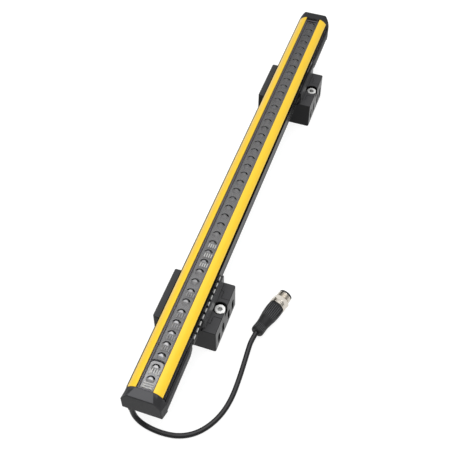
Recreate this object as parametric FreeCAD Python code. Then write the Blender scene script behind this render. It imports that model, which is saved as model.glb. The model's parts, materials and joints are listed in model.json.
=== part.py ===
import FreeCAD, Part

# Safety light curtain bar on two swivel brackets, with a pigtail cable and a round plug connector.
# All sizes are in millimetres. +Z is up, the bar runs along Y with its cable end at -Y, and the
# window faces up. The origin is in the middle of the mounting surface under both brackets.

import math
import os

from FreeCAD import Rotation, Vector

# Beams and overall size
beam_count = 44
beam_pitch = 10.0
near_beam_margin = 19.0
far_beam_margin = 15.0

# Aluminium profile
profile_width = 29.8
profile_depth = 20.6
profile_corner = 1.6
shoulder_ledge_depth = 7.3
clip_groove_level = 17.2
clip_groove_width = 1.6
clip_groove_depth = 0.8
chamber_width = 25.2
chamber_top = 4.4
chamber_shoulder = 9.4
chamber_bottom = 16.0
chamber_roof_width = 18.4
back_slot_mouth = 6.2
back_slot_width = 10.4
back_slot_lip = 1.3
back_slot_depth = 3.4

# Window, its seal and the yellow shoulder strips
window_width = 13.2
window_thickness = 2.4
window_side_gap = 0.15
seal_thickness = 0.6
seal_width = 1.1
window_slot_width = 10.6
shoulder_radius = 10.6
shoulder_centre_x = 4.7
shoulder_end_angle = 58.0
strip_thickness = 1.5
strip_gap = 0.05

# Black trim beside each yellow strip, held by a tongue in the profile
trim_inner_x = 12.5
trim_crest_x = 13.8
trim_crest_depth = 5.0
trim_bevel_depth = 6.5
tongue_width = 0.8
tongue_depth = 1.2
tongue_inner_x = 13.0
trim_gap = 0.05

# Lens, aperture and circuit boards inside the profile
lens_strip_width = 12.4
lens_strip_thickness = 1.0
lens_diameter = 6.6
lens_height = 1.5
aperture_strip_width = 15.4
aperture_strip_thickness = 1.0
aperture_diameter = 5.0
carrier_width = 15.6
carrier_wall = 1.3
carrier_rib_height = 1.5
carrier_rib_width = 1.2
board_thickness = 1.6
board_side_gap = 0.2
diode_size = 3.2
diode_height = 1.8
diode_dome_radius = 1.2
chip_size = 4.4
chip_height = 1.0
beams_per_chip = 4
indicator_plate_width = 10.2
indicator_plate_length = 24.6
indicator_plate_thickness = 0.5
indicator_plate_corner = 3.0
dome_clearance = 0.15
guide_length = 2.6
guide_width = 1.8
guide_height = 0.9
guide_offset = 2.6
power_board_length = 66.0
power_board_height = 7.6
power_board_gap = 0.5
capacitor_size = 4.2
capacitor_thickness = 2.0
capacitor_count = 5
inner_gap = 0.1

# End caps, sleeves and gaskets
cap_length = 33.0
cap_nose_length = 8.5
sleeve_length = 20.3
sleeve_taper_length = 8.0
sleeve_taper_wall = 0.4
sleeve_seam = 0.2
shell_wall = 1.4
shell_floor = 2.9
shell_corner = 2.6
shell_ledge_depth = 11.0
shell_bevel = 1.2
shell_fit = 0.1
nose_front_width = 31.4
nose_flat_width = 20.4
nose_shoulder_inset = 1.4
nose_shoulder_drop = 5.4
nose_shoulder_bow = 0.4
nose_side_drop = 7.7
nose_bottom_rise = 3.4
nose_wall = 1.6
nose_top_edge = 0.9
near_nose_corner = 1.4
far_nose_corner = 6.4
gasket_thickness = 1.0
gasket_inset = 0.3

# Countersunk screws that hold the caps and sleeves from below
end_screw_diameter = 3.0
end_screw_head = 5.4
end_screw_head_height = 1.3
end_screw_length = 5.6
end_screw_spacing = 18.0
end_screw_clearance = 0.05
end_screw_slot_width = 0.8
end_screw_slot_depth = 0.7

# Swivel brackets
near_bracket_y = -125.5
far_bracket_y = 147.2
base_width = 53.0
base_length = 49.0
base_height = 26.2
base_corner = 1.4
base_edge = 0.6
swivel_axis_rise = 15.8
bar_top_rise = 11.0
cradle_radius = 22.0
cradle_running_gap = 0.15
cradle_wall = 1.4
cradle_lip_depth = 14.6
cradle_length = 45.0
fixing_hole_diameter = 5.5
fixing_hole_spacing = 28.0
fixing_head_diameter = 10.0
fixing_floor = 9.0
slot_pocket_width = 4.6
slot_pocket_height = 12.0
slot_pocket_level = 9.5
slot_pocket_depth = 6.0
slot_pocket_inner_offset = 6.7
slot_pocket_outer_offset = 16.6

# Toothed steel springs that hold the profile lengthwise in the near cradle
spring_thickness = 0.5
spring_length = 63.0
spring_shift = -10.5
spring_tooth_pitch = 6.3
spring_tooth_width = 3.6
spring_tooth_height = 1.7
spring_hook = 0.6

# Clamp jaws with their socket head screws and captive nuts
jaw_length = 32.4
jaw_thickness = 8.2
jaw_inner_x = 12.5
jaw_edge_distance = 7.1
jaw_tab_width = 18.6
jaw_fit = 0.12
clamp_edge_distance = 5.0
clamp_screw_diameter = 5.0
clamp_screw_length = 16.0
clamp_head_diameter = 8.5
clamp_head_height = 5.0
clamp_head_sink = 1.6
clamp_socket_size = 4.0
clamp_socket_depth = 2.6
clamp_counterbore = 11.6
clamp_clearance = 0.25
clamp_nut_size = 8.0
clamp_nut_height = 4.0
clamp_nut_depth = 20.6
clamp_thread_gap = 0.05

# Cable and its moulded outlet
cable_diameter = 4.2
outlet_neck_diameter = 5.6
outlet_flange_diameter = 7.0
outlet_flange_height = 1.2
outlet_skirt_diameter = 6.4
outlet_tip_diameter = 5.2
outlet_tip_drop = 4.4

# Round connector, measured along its own axis from the end where the cable enters
connector_axis_angle = 74.3
connector_axis_height = 7.3
grip_outline = [
    (0.0, 4.3),
    (0.8, 5.0),
    (3.0, 5.3),
    (8.5, 5.2),
    (13.0, 5.7),
    (18.5, 6.5),
    (24.0, 6.9),
    (29.0, 6.8),
]
grip_length = 29.8
grip_front_radius = 6.5
grip_rib_count = 16
grip_rib_depth = 0.35
grip_rib_width = 0.9
grip_rib_start = 13.0
grip_rib_end = 29.0
nut_axial_gap = 0.2
nut_length = 12.8
nut_collar_radius = 7.1
nut_collar_length = 3.4
nut_collar_groove = 0.4
nut_hex_flat = 13.0
nut_hex_length = 4.0
nut_thread_radius = 5.95
nut_running_gap = 0.05
insert_radius = 4.45
insert_wall = 0.75
insert_floor_depth = 7.4
pin_radius = 0.5
pin_circle_radius = 2.4
pin_root = 5.0
pin_recess = 1.0
pin_hole_gap = 0.02
tip_ring_radius = 5.7
tip_ring_length = 1.2

# Sizes that follow from the ones above
housing_length = (beam_count - 1) * beam_pitch + near_beam_margin + far_beam_margin
half_length = housing_length / 2
swivel_axis_height = base_height + swivel_axis_rise
top_height = swivel_axis_height + bar_top_rise
cradle_lip_height = top_height - cradle_lip_depth
face_end = half_length - cap_nose_length
profile_end = face_end - gasket_thickness
half_profile = profile_width / 2
half_channel = window_width / 2 + window_side_gap
seal_level = window_thickness + seal_thickness
lens_level = chamber_top
aperture_level = lens_level + lens_strip_thickness
carrier_level = aperture_level + aperture_strip_thickness
shell_pocket_half = half_profile + shell_fit
half_shell = shell_pocket_half + shell_wall
shell_depth = profile_depth + shell_fit + shell_floor
outlet_tip_height = top_height - shell_depth - outlet_tip_drop
clamp_nut_level = base_height - clamp_nut_depth
first_beam_y = -half_length + near_beam_margin
base_half = base_width / 2
jaw_outer_x = base_half - jaw_edge_distance
clamp_screw_x = base_half - clamp_edge_distance
spring_inner_x = half_profile + inner_gap
near_pocket_half = spring_inner_x + spring_thickness + inner_gap
far_pocket_half = half_profile + inner_gap
trim_base = shoulder_ledge_depth - trim_gap

# Centre line of the cable from the outlet's tip to the plug's rear end
cable_route = [
    (-11.0, -227.6, outlet_tip_height),
    (-11.0, -227.6, 16.0),
    (-6.4, -228.4, 7.4),
    (1.6, -228.9, 2.3),
    (13.5, -229.7, 2.3),
    (25.6, -227.8, 2.3),
    (36.6, -221.5, 2.3),
    (45.0, -210.8, 2.3),
    (50.4, -197.6, 2.3),
    (52.4, -183.4, 2.3),
    (52.3, -168.6, 2.3),
    (51.7, -154.6, 2.6),
    (51.2, -143.6, 4.5),
    (51.1, -134.6, 6.6),
    (52.8, -126.5, 7.3),
]

everything = {}


def level(depth):
    """Height of a point that lies the given depth below the window's face."""
    return top_height - depth


def outline(points, y):
    """Closed wire in a plane across the bar. An item of four numbers ends an arc after its middle point."""
    edges = []
    last = Vector(points[0][0], y, points[0][1])
    first = last
    for item in points[1:]:
        end = Vector(item[-2], y, item[-1])
        if len(item) == 4:
            edges.append(Part.Arc(last, Vector(item[0], y, item[1]), end).toShape())
        else:
            edges.append(Part.LineSegment(last, end).toShape())
        last = end
    edges.append(Part.LineSegment(last, first).toShape())
    return Part.Wire(edges)


def prism(points, y_start, y_end):
    """Solid with a section across the bar, from one place along the bar to another."""
    face = Part.Face(outline(points, y_start))
    return face.extrude(Vector(0, y_end - y_start, 0))


def block(x_start, x_end, y_start, y_end, z_start, z_end):
    corner = Vector(x_start, y_start, z_start)
    return Part.makeBox(x_end - x_start, y_end - y_start, z_end - z_start, corner)


def post(radius, x, y, z_start, z_end):
    return Part.makeCylinder(radius, z_end - z_start, Vector(x, y, z_start))


def mirrored_x(shape):
    return shape.mirror(Vector(0, 0, 0), Vector(1, 0, 0))


def mirrored_y(shape):
    return shape.mirror(Vector(0, 0, 0), Vector(0, 1, 0))


def both_sides(half):
    return half.fuse(mirrored_x(half)).removeSplitter()


def rounded(shape, radius, picks):
    """Fillet the edges that the test picks."""
    edges = [edge for edge in shape.Edges if picks(edge)]
    return shape.makeFillet(radius, edges)


def is_vertical(edge):
    box = edge.BoundBox
    return box.XLength < 1e-6 and box.YLength < 1e-6 and box.ZLength > 1e-6


def single(shape):
    """The one solid that a boolean result holds."""
    return shape.Solids[0] if len(shape.Solids) == 1 else shape


def keep(name, solids):
    """Store a node, which may hold one solid or a group of separate ones."""
    if isinstance(solids, list):
        solids = Part.makeCompound(solids)
    everything[name] = solids


def beam_positions():
    return [first_beam_y + index * beam_pitch for index in range(beam_count)]


def shoulder_point(x, inset=0.0):
    """Point of the rounded shoulder above x, the inset being measured towards the arc's centre."""
    start_x = window_width / 2 + window_side_gap
    centre_depth = math.sqrt(shoulder_radius ** 2 - (start_x - shoulder_centre_x) ** 2)
    radius = shoulder_radius - inset
    return (x, level(centre_depth - math.sqrt(radius ** 2 - (x - shoulder_centre_x) ** 2)))


def shoulder_end_x(inset=0.0):
    return shoulder_centre_x + (shoulder_radius - inset) * math.sin(math.radians(shoulder_end_angle))


def shoulder_arc(x_start, x_end, inset=0.0):
    """Middle and end of the shoulder's arc, as one item of an outline."""
    middle = shoulder_point((x_start + x_end) / 2, inset)
    end = shoulder_point(x_end, inset)
    return (middle[0], middle[1], end[0], end[1])


def housing_profile():
    seat_inset = strip_thickness + strip_gap
    seat_end = shoulder_end_x(seat_inset)
    groove_low = clip_groove_level + clip_groove_width / 2
    groove_high = clip_groove_level - clip_groove_width / 2
    half_roof = chamber_roof_width / 2
    half_chamber = chamber_width / 2
    half_slot = window_slot_width / 2
    slot_roof = profile_depth - back_slot_depth
    corner_shift = profile_corner * (1 - math.sqrt(0.5))
    half = [
        (0.0, level(chamber_bottom)),
        (half_chamber, level(chamber_bottom)),
        (half_chamber, level(chamber_shoulder)),
        (half_roof, level(chamber_top)),
        (half_slot, level(chamber_top)),
        (half_slot, level(seal_level)),
        (half_channel, level(seal_level)),
        shoulder_point(half_channel, seat_inset),
        shoulder_arc(half_channel, seat_end, seat_inset),
        (seat_end, level(shoulder_ledge_depth)),
        (tongue_inner_x - trim_gap, level(shoulder_ledge_depth)),
        (tongue_inner_x - trim_gap, level(shoulder_ledge_depth + tongue_depth)),
        (tongue_inner_x + tongue_width + trim_gap, level(shoulder_ledge_depth + tongue_depth)),
        (tongue_inner_x + tongue_width + trim_gap, level(shoulder_ledge_depth)),
        (half_profile, level(shoulder_ledge_depth)),
        (half_profile, level(groove_high)),
        (half_profile - clip_groove_depth, level(groove_high)),
        (half_profile - clip_groove_depth, level(groove_low)),
        (half_profile, level(groove_low)),
        (half_profile, level(profile_depth - profile_corner)),
        (half_profile - corner_shift, level(profile_depth - corner_shift),
         half_profile - profile_corner, level(profile_depth)),
        (back_slot_mouth / 2, level(profile_depth)),
        (back_slot_mouth / 2, level(profile_depth - back_slot_lip)),
        (back_slot_width / 2, level(profile_depth - back_slot_lip)),
        (back_slot_width / 2, level(slot_roof)),
        (0.0, level(slot_roof)),
    ]
    body = both_sides(prism(half, -profile_end, profile_end))
    return single(body.cut(end_screw_bores(end_screw_diameter / 2)))


def yellow_strip():
    end_outer = shoulder_end_x()
    end_inner = shoulder_end_x(strip_thickness)
    section = [
        shoulder_point(half_channel),
        shoulder_arc(half_channel, end_outer),
        shoulder_point(end_inner, strip_thickness),
        shoulder_arc(end_inner, half_channel, strip_thickness),
    ]
    reach = face_end - inner_gap
    return prism(section, -reach, reach)


def edge_trim():
    """Black strip on the +X side that fills the step between the yellow strip and the profile's side."""
    section = [
        (trim_inner_x, level(trim_base)),
        (trim_inner_x, level(trim_base - trim_gap - tongue_depth)),
        (trim_crest_x, level(trim_crest_depth)),
        (half_profile, level(trim_bevel_depth)),
        (half_profile, level(trim_base)),
        (tongue_inner_x + tongue_width, level(trim_base)),
        (tongue_inner_x + tongue_width, level(trim_base + tongue_depth)),
        (tongue_inner_x, level(trim_base + tongue_depth)),
        (tongue_inner_x, level(trim_base)),
    ]
    return prism(section, -profile_end, profile_end)


def front_window():
    reach = face_end - inner_gap
    pane = block(-window_width / 2, window_width / 2, -reach, reach, level(window_thickness), level(0))
    return pane


def window_seal():
    reach = profile_end
    half = window_width / 2
    outer = block(-half, half, -reach, reach, level(seal_level), level(window_thickness))
    half_hole = half - seal_width
    hole = block(-half_hole, half_hole, -reach + seal_width, reach - seal_width,
                 level(seal_level), level(window_thickness))
    return outer.cut(hole)


def lens_strip():
    reach = profile_end
    half = lens_strip_width / 2
    strip = block(-half, half, -reach, reach, level(aperture_level), level(lens_level))
    sphere_radius = ((lens_diameter / 2) ** 2 + lens_height ** 2) / (2 * lens_height)
    sink = sphere_radius - lens_height
    ball = Part.makeSphere(sphere_radius, Vector(0, 0, level(lens_level) - sink))
    cap_zone = post(lens_diameter, 0, 0, level(lens_level), level(lens_level) + lens_height)
    dome = ball.common(cap_zone)
    domes = [dome.translated(Vector(0, y, 0)) for y in beam_positions()]
    return single(strip.fuse(domes))


def aperture_strip():
    reach = profile_end
    half = aperture_strip_width / 2
    strip = block(-half, half, -reach, reach, level(carrier_level), level(aperture_level))
    holes = [post(aperture_diameter / 2, 0, y, level(carrier_level), level(aperture_level))
             for y in beam_positions()]
    return strip.cut(holes)


def board_top():
    return level(chamber_bottom - inner_gap - carrier_wall - carrier_rib_height) + board_thickness


def optics_carrier():
    reach = profile_end
    half = carrier_width / 2
    floor = level(chamber_bottom - inner_gap)
    body = block(-half, half, -reach, reach, floor, level(carrier_level))
    hollow = block(-half + carrier_wall, half - carrier_wall, -reach, reach,
                   floor + carrier_wall, level(carrier_level))
    rib = block(-half + carrier_wall, -half + carrier_wall + carrier_rib_width, -reach, reach,
                floor + carrier_wall, floor + carrier_wall + carrier_rib_height)
    return single(body.cut(hollow).fuse([rib, mirrored_x(rib)]).removeSplitter())


def sensor_board():
    half = carrier_width / 2 - carrier_wall - board_side_gap
    return block(-half, half, -profile_end, profile_end, board_top() - board_thickness, board_top())


def beam_diodes():
    """One square diode with a domed front on the board under each lens."""
    half = diode_size / 2
    body = block(-half, half, -half, half, board_top(), board_top() + diode_height)
    dome = Part.makeSphere(diode_dome_radius, Vector(0, 0, board_top() + diode_height))
    upper = post(diode_size, 0, 0, board_top() + diode_height, board_top() + 2 * diode_height)
    diode = body.fuse(dome.common(upper))
    return [diode.translated(Vector(0, y, 0)) for y in beam_positions()]


def drive_chips():
    """One chip for each group of beams, between two diodes."""
    half = chip_size / 2
    chip = block(-half, half, -half, half, board_top(), board_top() + chip_height)
    rows = beam_positions()[1::beams_per_chip]
    return [chip.translated(Vector(0, y + beam_pitch / 2, 0)) for y in rows]


def indicator_top():
    return level(lens_level) + indicator_plate_thickness


def indicator_plate():
    """Light grey plate round the first lenses, with round corners at its inner end."""
    half = indicator_plate_width / 2
    start = -profile_end
    plate = block(-half, half, start, start + indicator_plate_length, level(lens_level), indicator_top())
    plate = rounded(plate, indicator_plate_corner,
                    lambda edge: is_vertical(edge) and edge.BoundBox.YMin > start + indicator_plate_corner)
    radius = lens_diameter / 2 + dome_clearance
    holes = [post(radius, 0, y, level(lens_level), indicator_top())
             for y in beam_positions() if y < start + indicator_plate_length]
    return plate.cut(holes)


def light_guides():
    """Small clear blocks on the indicator plate that carry the light of the status display."""
    half_x = guide_width / 2
    half_y = guide_length / 2
    guide = block(-half_x, half_x, -half_y, half_y, indicator_top(), indicator_top() + guide_height)
    beams = beam_positions()
    rows = [(-profile_end + beams[0] - lens_diameter / 2) / 2, beams[0] + beam_pitch / 2]
    places = [Vector(side * guide_offset, y, 0) for y in rows for side in (-1, 1)]
    return [guide.translated(place) for place in places]


def power_board_x():
    return carrier_width / 2 + power_board_gap


def power_board():
    start = -profile_end + cap_nose_length
    return block(power_board_x(), power_board_x() + board_thickness, start, start + power_board_length,
                 level(chamber_bottom - inner_gap), level(chamber_bottom - inner_gap) + power_board_height)


def capacitors():
    start = -profile_end + cap_nose_length
    step = power_board_length / capacitor_count
    low = level(chamber_bottom - inner_gap) + (power_board_height - capacitor_size) / 2
    face = power_board_x() + board_thickness
    solids = []
    for index in range(capacitor_count):
        middle = start + (index + 0.5) * step
        solids.append(block(face, face + capacitor_thickness, middle - capacitor_size / 2,
                            middle + capacitor_size / 2, low, low + capacitor_size))
    return solids


def end_screw_places(side):
    """Places along the bar of one end's screws: one pair through the cap, one pair through the sleeve."""
    cap_middle = half_length - (cap_nose_length + cap_length) / 2
    sleeve_middle = half_length - cap_length - sleeve_seam - sleeve_length / 2
    half = end_screw_spacing / 2
    return [(x, side * y) for y in (cap_middle, sleeve_middle) for x in (-half, half)]


def end_screw_bores(radius):
    """Round bores for all the end screws, from below the shells up into the profile."""
    bores = []
    for side in (-1, 1):
        for x, y in end_screw_places(side):
            bottom = level(shell_depth)
            bores.append(post(radius, x, y, bottom, bottom + end_screw_length + inner_gap))
    return bores


def end_screws():
    solids = []
    shank_radius = end_screw_diameter / 2 - end_screw_clearance
    bottom = level(shell_depth)
    for side in (-1, 1):
        for x, y in end_screw_places(side):
            head = Part.makeCone(end_screw_head / 2, shank_radius, end_screw_head_height,
                                 Vector(x, y, bottom))
            shank = post(shank_radius, x, y, bottom + end_screw_head_height, bottom + end_screw_length)
            slot = block(x - end_screw_head / 3, x + end_screw_head / 3,
                         y - end_screw_slot_width / 2, y + end_screw_slot_width / 2,
                         bottom, bottom + end_screw_slot_depth)
            solids.append(single(head.fuse(shank).cut(slot)))
    return solids


def shell_screw_holes(side):
    """Countersunk clearance holes in the floor of one end's cap and sleeve."""
    bottom = level(shell_depth)
    grow = end_screw_clearance
    cutters = []
    for x, y in end_screw_places(side):
        sink = Part.makeCone(end_screw_head / 2 + grow, end_screw_diameter / 2, end_screw_head_height,
                             Vector(x, y, bottom))
        cutters.append(sink)
        cutters.append(post(end_screw_diameter / 2, x, y, bottom, level(profile_depth)))
    return cutters


def shell_envelope():
    """Full outer outline of the moulded shells, without the pocket."""
    shift = shell_corner * (1 - math.sqrt(0.5))
    inner = half_shell - shell_corner
    bevel_end = level(shell_ledge_depth + shell_bevel)
    return [
        (-shell_pocket_half, level(shell_ledge_depth)),
        (-half_shell, bevel_end),
        (-half_shell, level(shell_depth - shell_corner)),
        (-half_shell + shift, level(shell_depth - shift), -inner, level(shell_depth)),
        (inner, level(shell_depth)),
        (half_shell - shift, level(shell_depth - shift), half_shell, level(shell_depth - shell_corner)),
        (half_shell, bevel_end),
        (shell_pocket_half, level(shell_ledge_depth)),
    ]


def shell_section():
    """Right half of the shells' section: a rounded tray with a pocket for the profile."""
    shift = shell_corner * (1 - math.sqrt(0.5))
    return [
        (0.0, level(shell_depth)),
        (half_shell - shell_corner, level(shell_depth)),
        (half_shell - shift, level(shell_depth - shift), half_shell, level(shell_depth - shell_corner)),
        (half_shell, level(shell_ledge_depth + shell_bevel)),
        (shell_pocket_half, level(shell_ledge_depth)),
        (shell_pocket_half, level(profile_depth + shell_fit)),
        (0.0, level(profile_depth + shell_fit)),
    ]


def end_nose(corner_radius):
    """Closed front block of a cap at the near end, blending the bar's section into a flat face."""
    back = [
        (half_shell, level(shell_depth)),
        (half_shell, level(shell_ledge_depth + shell_bevel)),
        shoulder_point(shoulder_end_x()),
        shoulder_point((half_channel + shoulder_end_x()) / 2),
        (half_channel, level(0)),
    ]
    half_front = nose_front_width / 2
    half_flat = nose_flat_width / 2
    shoulder_x = half_front - nose_shoulder_inset
    front = [
        (half_front, level(shell_depth - nose_bottom_rise)),
        (half_front, level(nose_side_drop)),
        (shoulder_x, level(nose_shoulder_drop)),
        ((shoulder_x + half_flat) / 2, level(nose_shoulder_drop * nose_shoulder_bow)),
        (half_flat, level(0)),
    ]
    wires = []
    for half, y in ((back, -face_end), (front, -half_length)):
        full = half + [(-x, z) for x, z in reversed(half)]
        wires.append(outline(full, y))
    form = Part.makeLoft(wires, True, True)
    tall = 2 * top_height
    plan = block(-half_shell, half_shell, -half_length, 0, -tall, tall)
    plan = rounded(plan, corner_radius, lambda edge: is_vertical(edge) and edge.BoundBox.YMax < -1)
    side = block(-half_shell, half_shell, -half_length, 0, level(shell_depth), level(0))
    side = rounded(side, nose_top_edge, lambda edge: edge.BoundBox.XLength > 1 and edge.BoundBox.YMax < -1)
    return form.common(plan).common(side)


def end_cap(corner_radius):
    """Moulded cap at the near end: closed nose and a tray that wraps the profile."""
    half_tray = prism(shell_section(), -face_end, -half_length + cap_length)
    nose = end_nose(corner_radius)
    roof = shell_ledge_depth
    hollow = block(-half_shell + nose_wall, half_shell - nose_wall, -half_length + nose_wall, -face_end,
                   level(shell_depth - nose_bottom_rise - nose_wall), level(roof))
    hollow = rounded(hollow, near_nose_corner / 2, is_vertical)
    return nose.cut(hollow).fuse(both_sides(half_tray)).removeSplitter()


def near_end_cap():
    exit_x, exit_y, exit_z = cable_route[0]
    hole = post(outlet_neck_diameter / 2, exit_x, exit_y, level(shell_depth) - 1, level(profile_depth / 2))
    cap = end_cap(near_nose_corner).cut([hole] + shell_screw_holes(-1))
    return single(cap)


def far_end_cap():
    cap = mirrored_y(end_cap(far_nose_corner))
    return single(cap.cut(shell_screw_holes(1)))


def end_sleeve():
    """Moulded sleeve beside the near cap, tapered down to the profile at its inner end."""
    start = -half_length + cap_length + sleeve_seam
    taper_start = start + sleeve_length
    taper_end = taper_start + sleeve_taper_length
    tray = both_sides(prism(shell_section(), start, taper_start))
    wires = []
    for y, half, depth in ((taper_start, half_shell, shell_depth),
                           (taper_end, shell_pocket_half + sleeve_taper_wall,
                            profile_depth + shell_fit + sleeve_taper_wall)):
        wires.append(outline([(-half, level(depth)), (half, level(depth)),
                              (half, level(shell_ledge_depth)), (-half, level(shell_ledge_depth))], y))
    pocket = block(-shell_pocket_half, shell_pocket_half, taper_start, taper_end,
                   level(profile_depth + shell_fit), level(shell_ledge_depth))
    taper = Part.makeLoft(wires, True, True).cut(pocket)
    envelope = prism(shell_envelope(), taper_start, taper_end)
    return single(tray.fuse(taper.common(envelope)).removeSplitter())


def end_gasket(side):
    """Flat rubber frame between the profile's end and the cap's nose."""
    half = half_profile - gasket_inset
    near, far = sorted((side * profile_end, side * face_end))
    plate = block(-half, half, near, far, level(profile_depth - gasket_inset),
                  level(shoulder_ledge_depth + gasket_inset))
    opening = block(-half_shell + 2 * nose_wall, half_shell - 2 * nose_wall, near, far,
                    level(chamber_bottom), level(chamber_shoulder))
    return plate.cut(opening)


def trough_cutter(y_start, y_end, radius):
    start = Vector(0, y_start, swivel_axis_height)
    return Part.makeCylinder(radius, y_end - y_start, start, Vector(0, 1, 0))


def jaw_outline(bracket_y, grow):
    """Tee-shaped plan outline of a clamp jaw on the +X side, down to the jaw's underside."""
    half = jaw_length / 2 + grow
    half_tab = jaw_tab_width / 2 + grow
    low = base_height - jaw_thickness - grow
    inner = jaw_inner_x - grow
    bar = block(inner, jaw_outer_x + grow, bracket_y - half, bracket_y + half, low, base_height)
    tab = block(inner, base_half, bracket_y - half_tab, bracket_y + half_tab, low, base_height)
    return bar.fuse(tab).removeSplitter()


def clamp_jaw(bracket_y):
    """Jaw on the +X side that its screw pulls down and against the round of the cradle."""
    seat = base_height - clamp_head_sink - clamp_head_height
    half = base_length / 2
    cutters = [
        trough_cutter(bracket_y - half, bracket_y + half, cradle_radius + cradle_running_gap),
        post(clamp_counterbore / 2, clamp_screw_x, bracket_y, seat, base_height),
        post(clamp_screw_diameter / 2 + clamp_clearance, clamp_screw_x, bracket_y, 0, base_height),
    ]
    return single(jaw_outline(bracket_y, 0).cut(cutters))


def clamp_screw(bracket_y):
    """Socket head screw of one clamp, on the +X side."""
    head_top = base_height - clamp_head_sink
    head_bottom = head_top - clamp_head_height
    head = post(clamp_head_diameter / 2, clamp_screw_x, bracket_y, head_bottom, head_top)
    shank = post(clamp_screw_diameter / 2, clamp_screw_x, bracket_y,
                 head_bottom - clamp_screw_length, head_bottom)
    radius = clamp_socket_size / math.sqrt(3)
    angles = [math.radians(60 * step) for step in range(7)]
    corners = [Vector(clamp_screw_x + radius * math.cos(angle), bracket_y + radius * math.sin(angle),
                      head_top - clamp_socket_depth) for angle in angles]
    socket = Part.Face(Part.makePolygon(corners)).extrude(Vector(0, 0, clamp_socket_depth))
    return single(head.fuse(shank).cut(socket))


def clamp_nut(bracket_y):
    """Square captive nut of one clamp, on the +X side."""
    half = clamp_nut_size / 2
    nut = block(clamp_screw_x - half, clamp_screw_x + half, bracket_y - half, bracket_y + half,
                clamp_nut_level, clamp_nut_level + clamp_nut_height)
    thread = post(clamp_screw_diameter / 2 + clamp_thread_gap, clamp_screw_x, bracket_y,
                  clamp_nut_level, clamp_nut_level + clamp_nut_height)
    return nut.cut(thread)


def for_both_clamps(make_one):
    """Copies of a clamp piece, one on the +X side of each bracket."""
    return [make_one(bracket_y) for bracket_y in (near_bracket_y, far_bracket_y)]


def side_pocket(bracket_y, offset):
    """Upright oval pocket in the +X side face of a base."""
    half = slot_pocket_width / 2
    straight = slot_pocket_height / 2 - half
    x_start = base_half - slot_pocket_depth
    middle = bracket_y + offset
    core = block(x_start, base_half, middle - half, middle + half,
                 slot_pocket_level - straight, slot_pocket_level + straight)
    ends = [Part.makeCylinder(half, slot_pocket_depth, Vector(x_start, middle, z), Vector(1, 0, 0))
            for z in (slot_pocket_level - straight, slot_pocket_level + straight)]
    return core.fuse(ends).removeSplitter()


def bracket_base(bracket_y):
    """Moulded base with a round trough, fixing holes, side pockets and the recess of its clamp."""
    start = bracket_y - base_length / 2
    end = bracket_y + base_length / 2
    base = block(-base_half, base_half, start, end, 0, base_height)
    base = rounded(base, base_corner, is_vertical)
    base = rounded(base, base_edge, lambda edge: edge.BoundBox.ZMin > base_height - 1e-3)
    cutters = [trough_cutter(start - 1, end + 1, cradle_radius + cradle_running_gap)]
    for offset in (-fixing_hole_spacing / 2, fixing_hole_spacing / 2):
        hole_y = bracket_y + offset
        cutters.append(post(fixing_hole_diameter / 2, 0, hole_y, 0, base_height))
        cutters.append(post(fixing_head_diameter / 2, 0, hole_y, fixing_floor, base_height))
    pockets = [side_pocket(bracket_y, side * offset) for side in (-1, 1)
               for offset in (slot_pocket_inner_offset, slot_pocket_outer_offset)]
    cutters += pockets + [mirrored_x(pocket) for pocket in pockets]
    cutters.append(jaw_outline(bracket_y, jaw_fit))
    cutters.append(post(clamp_screw_diameter / 2 + clamp_clearance, clamp_screw_x, bracket_y,
                        clamp_nut_level, base_height))
    nut_half = clamp_nut_size / 2 + clamp_thread_gap
    cutters.append(block(clamp_screw_x - nut_half, clamp_screw_x + nut_half, bracket_y - nut_half,
                         bracket_y + nut_half, 0, clamp_nut_level + clamp_nut_height))
    return single(base.cut(cutters))


def cradle(bracket_y, pocket_half):
    """Swivel cradle: round underneath, with a square pocket that grips the profile."""
    start = bracket_y - cradle_length / 2
    end = bracket_y + cradle_length / 2
    half = pocket_half + cradle_wall
    roller = trough_cutter(start, end, cradle_radius)
    window = block(-half, half, start, end, swivel_axis_height - cradle_radius, cradle_lip_height)
    pocket = block(-pocket_half, pocket_half, start, end, level(profile_depth + inner_gap), top_height)
    return single(roller.common(window).cut(pocket).removeSplitter())


def toothed_spring():
    """Steel strip on the +X side with a hook in the profile's groove and a row of teeth above the lip."""
    start = near_bracket_y + spring_shift - spring_length / 2
    end = start + spring_length
    outer = spring_inner_x + spring_thickness
    low = level(profile_depth + inner_gap)
    hook_low = level(clip_groove_level + clip_groove_width / 2 - inner_gap)
    hook_high = level(clip_groove_level - clip_groove_width / 2 + inner_gap)
    strip = block(spring_inner_x, outer, start, end, low, cradle_lip_height)
    hook = block(half_profile - spring_hook, spring_inner_x, start, end, hook_low, hook_high)
    teeth = []
    count = int(spring_length / spring_tooth_pitch)
    rest = (spring_length - (count - 1) * spring_tooth_pitch - spring_tooth_width) / 2
    for index in range(count):
        tooth_start = start + rest + index * spring_tooth_pitch
        teeth.append(block(spring_inner_x, outer, tooth_start, tooth_start + spring_tooth_width,
                           cradle_lip_height, cradle_lip_height + spring_tooth_height))
    return single(strip.fuse([hook] + teeth).removeSplitter())


def cable_outlet():
    """Moulded outlet in the near cap's floor, tapered towards the cable."""
    x, y, tip = cable_route[0]
    floor_low = level(shell_depth)
    floor_high = level(shell_depth - nose_bottom_rise - nose_wall)
    cone_height = floor_low - tip
    skirt = Part.makeCone(outlet_tip_diameter / 2, outlet_skirt_diameter / 2, cone_height,
                          Vector(x, y, tip))
    neck = post(outlet_neck_diameter / 2, x, y, floor_low, floor_high)
    flange = post(outlet_flange_diameter / 2, x, y, floor_high, floor_high + outlet_flange_height)
    inside = block(-half_shell, half_shell, -half_length + nose_wall, -face_end, 0, top_height)
    return single(skirt.fuse([neck, flange.common(inside)]))


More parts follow.
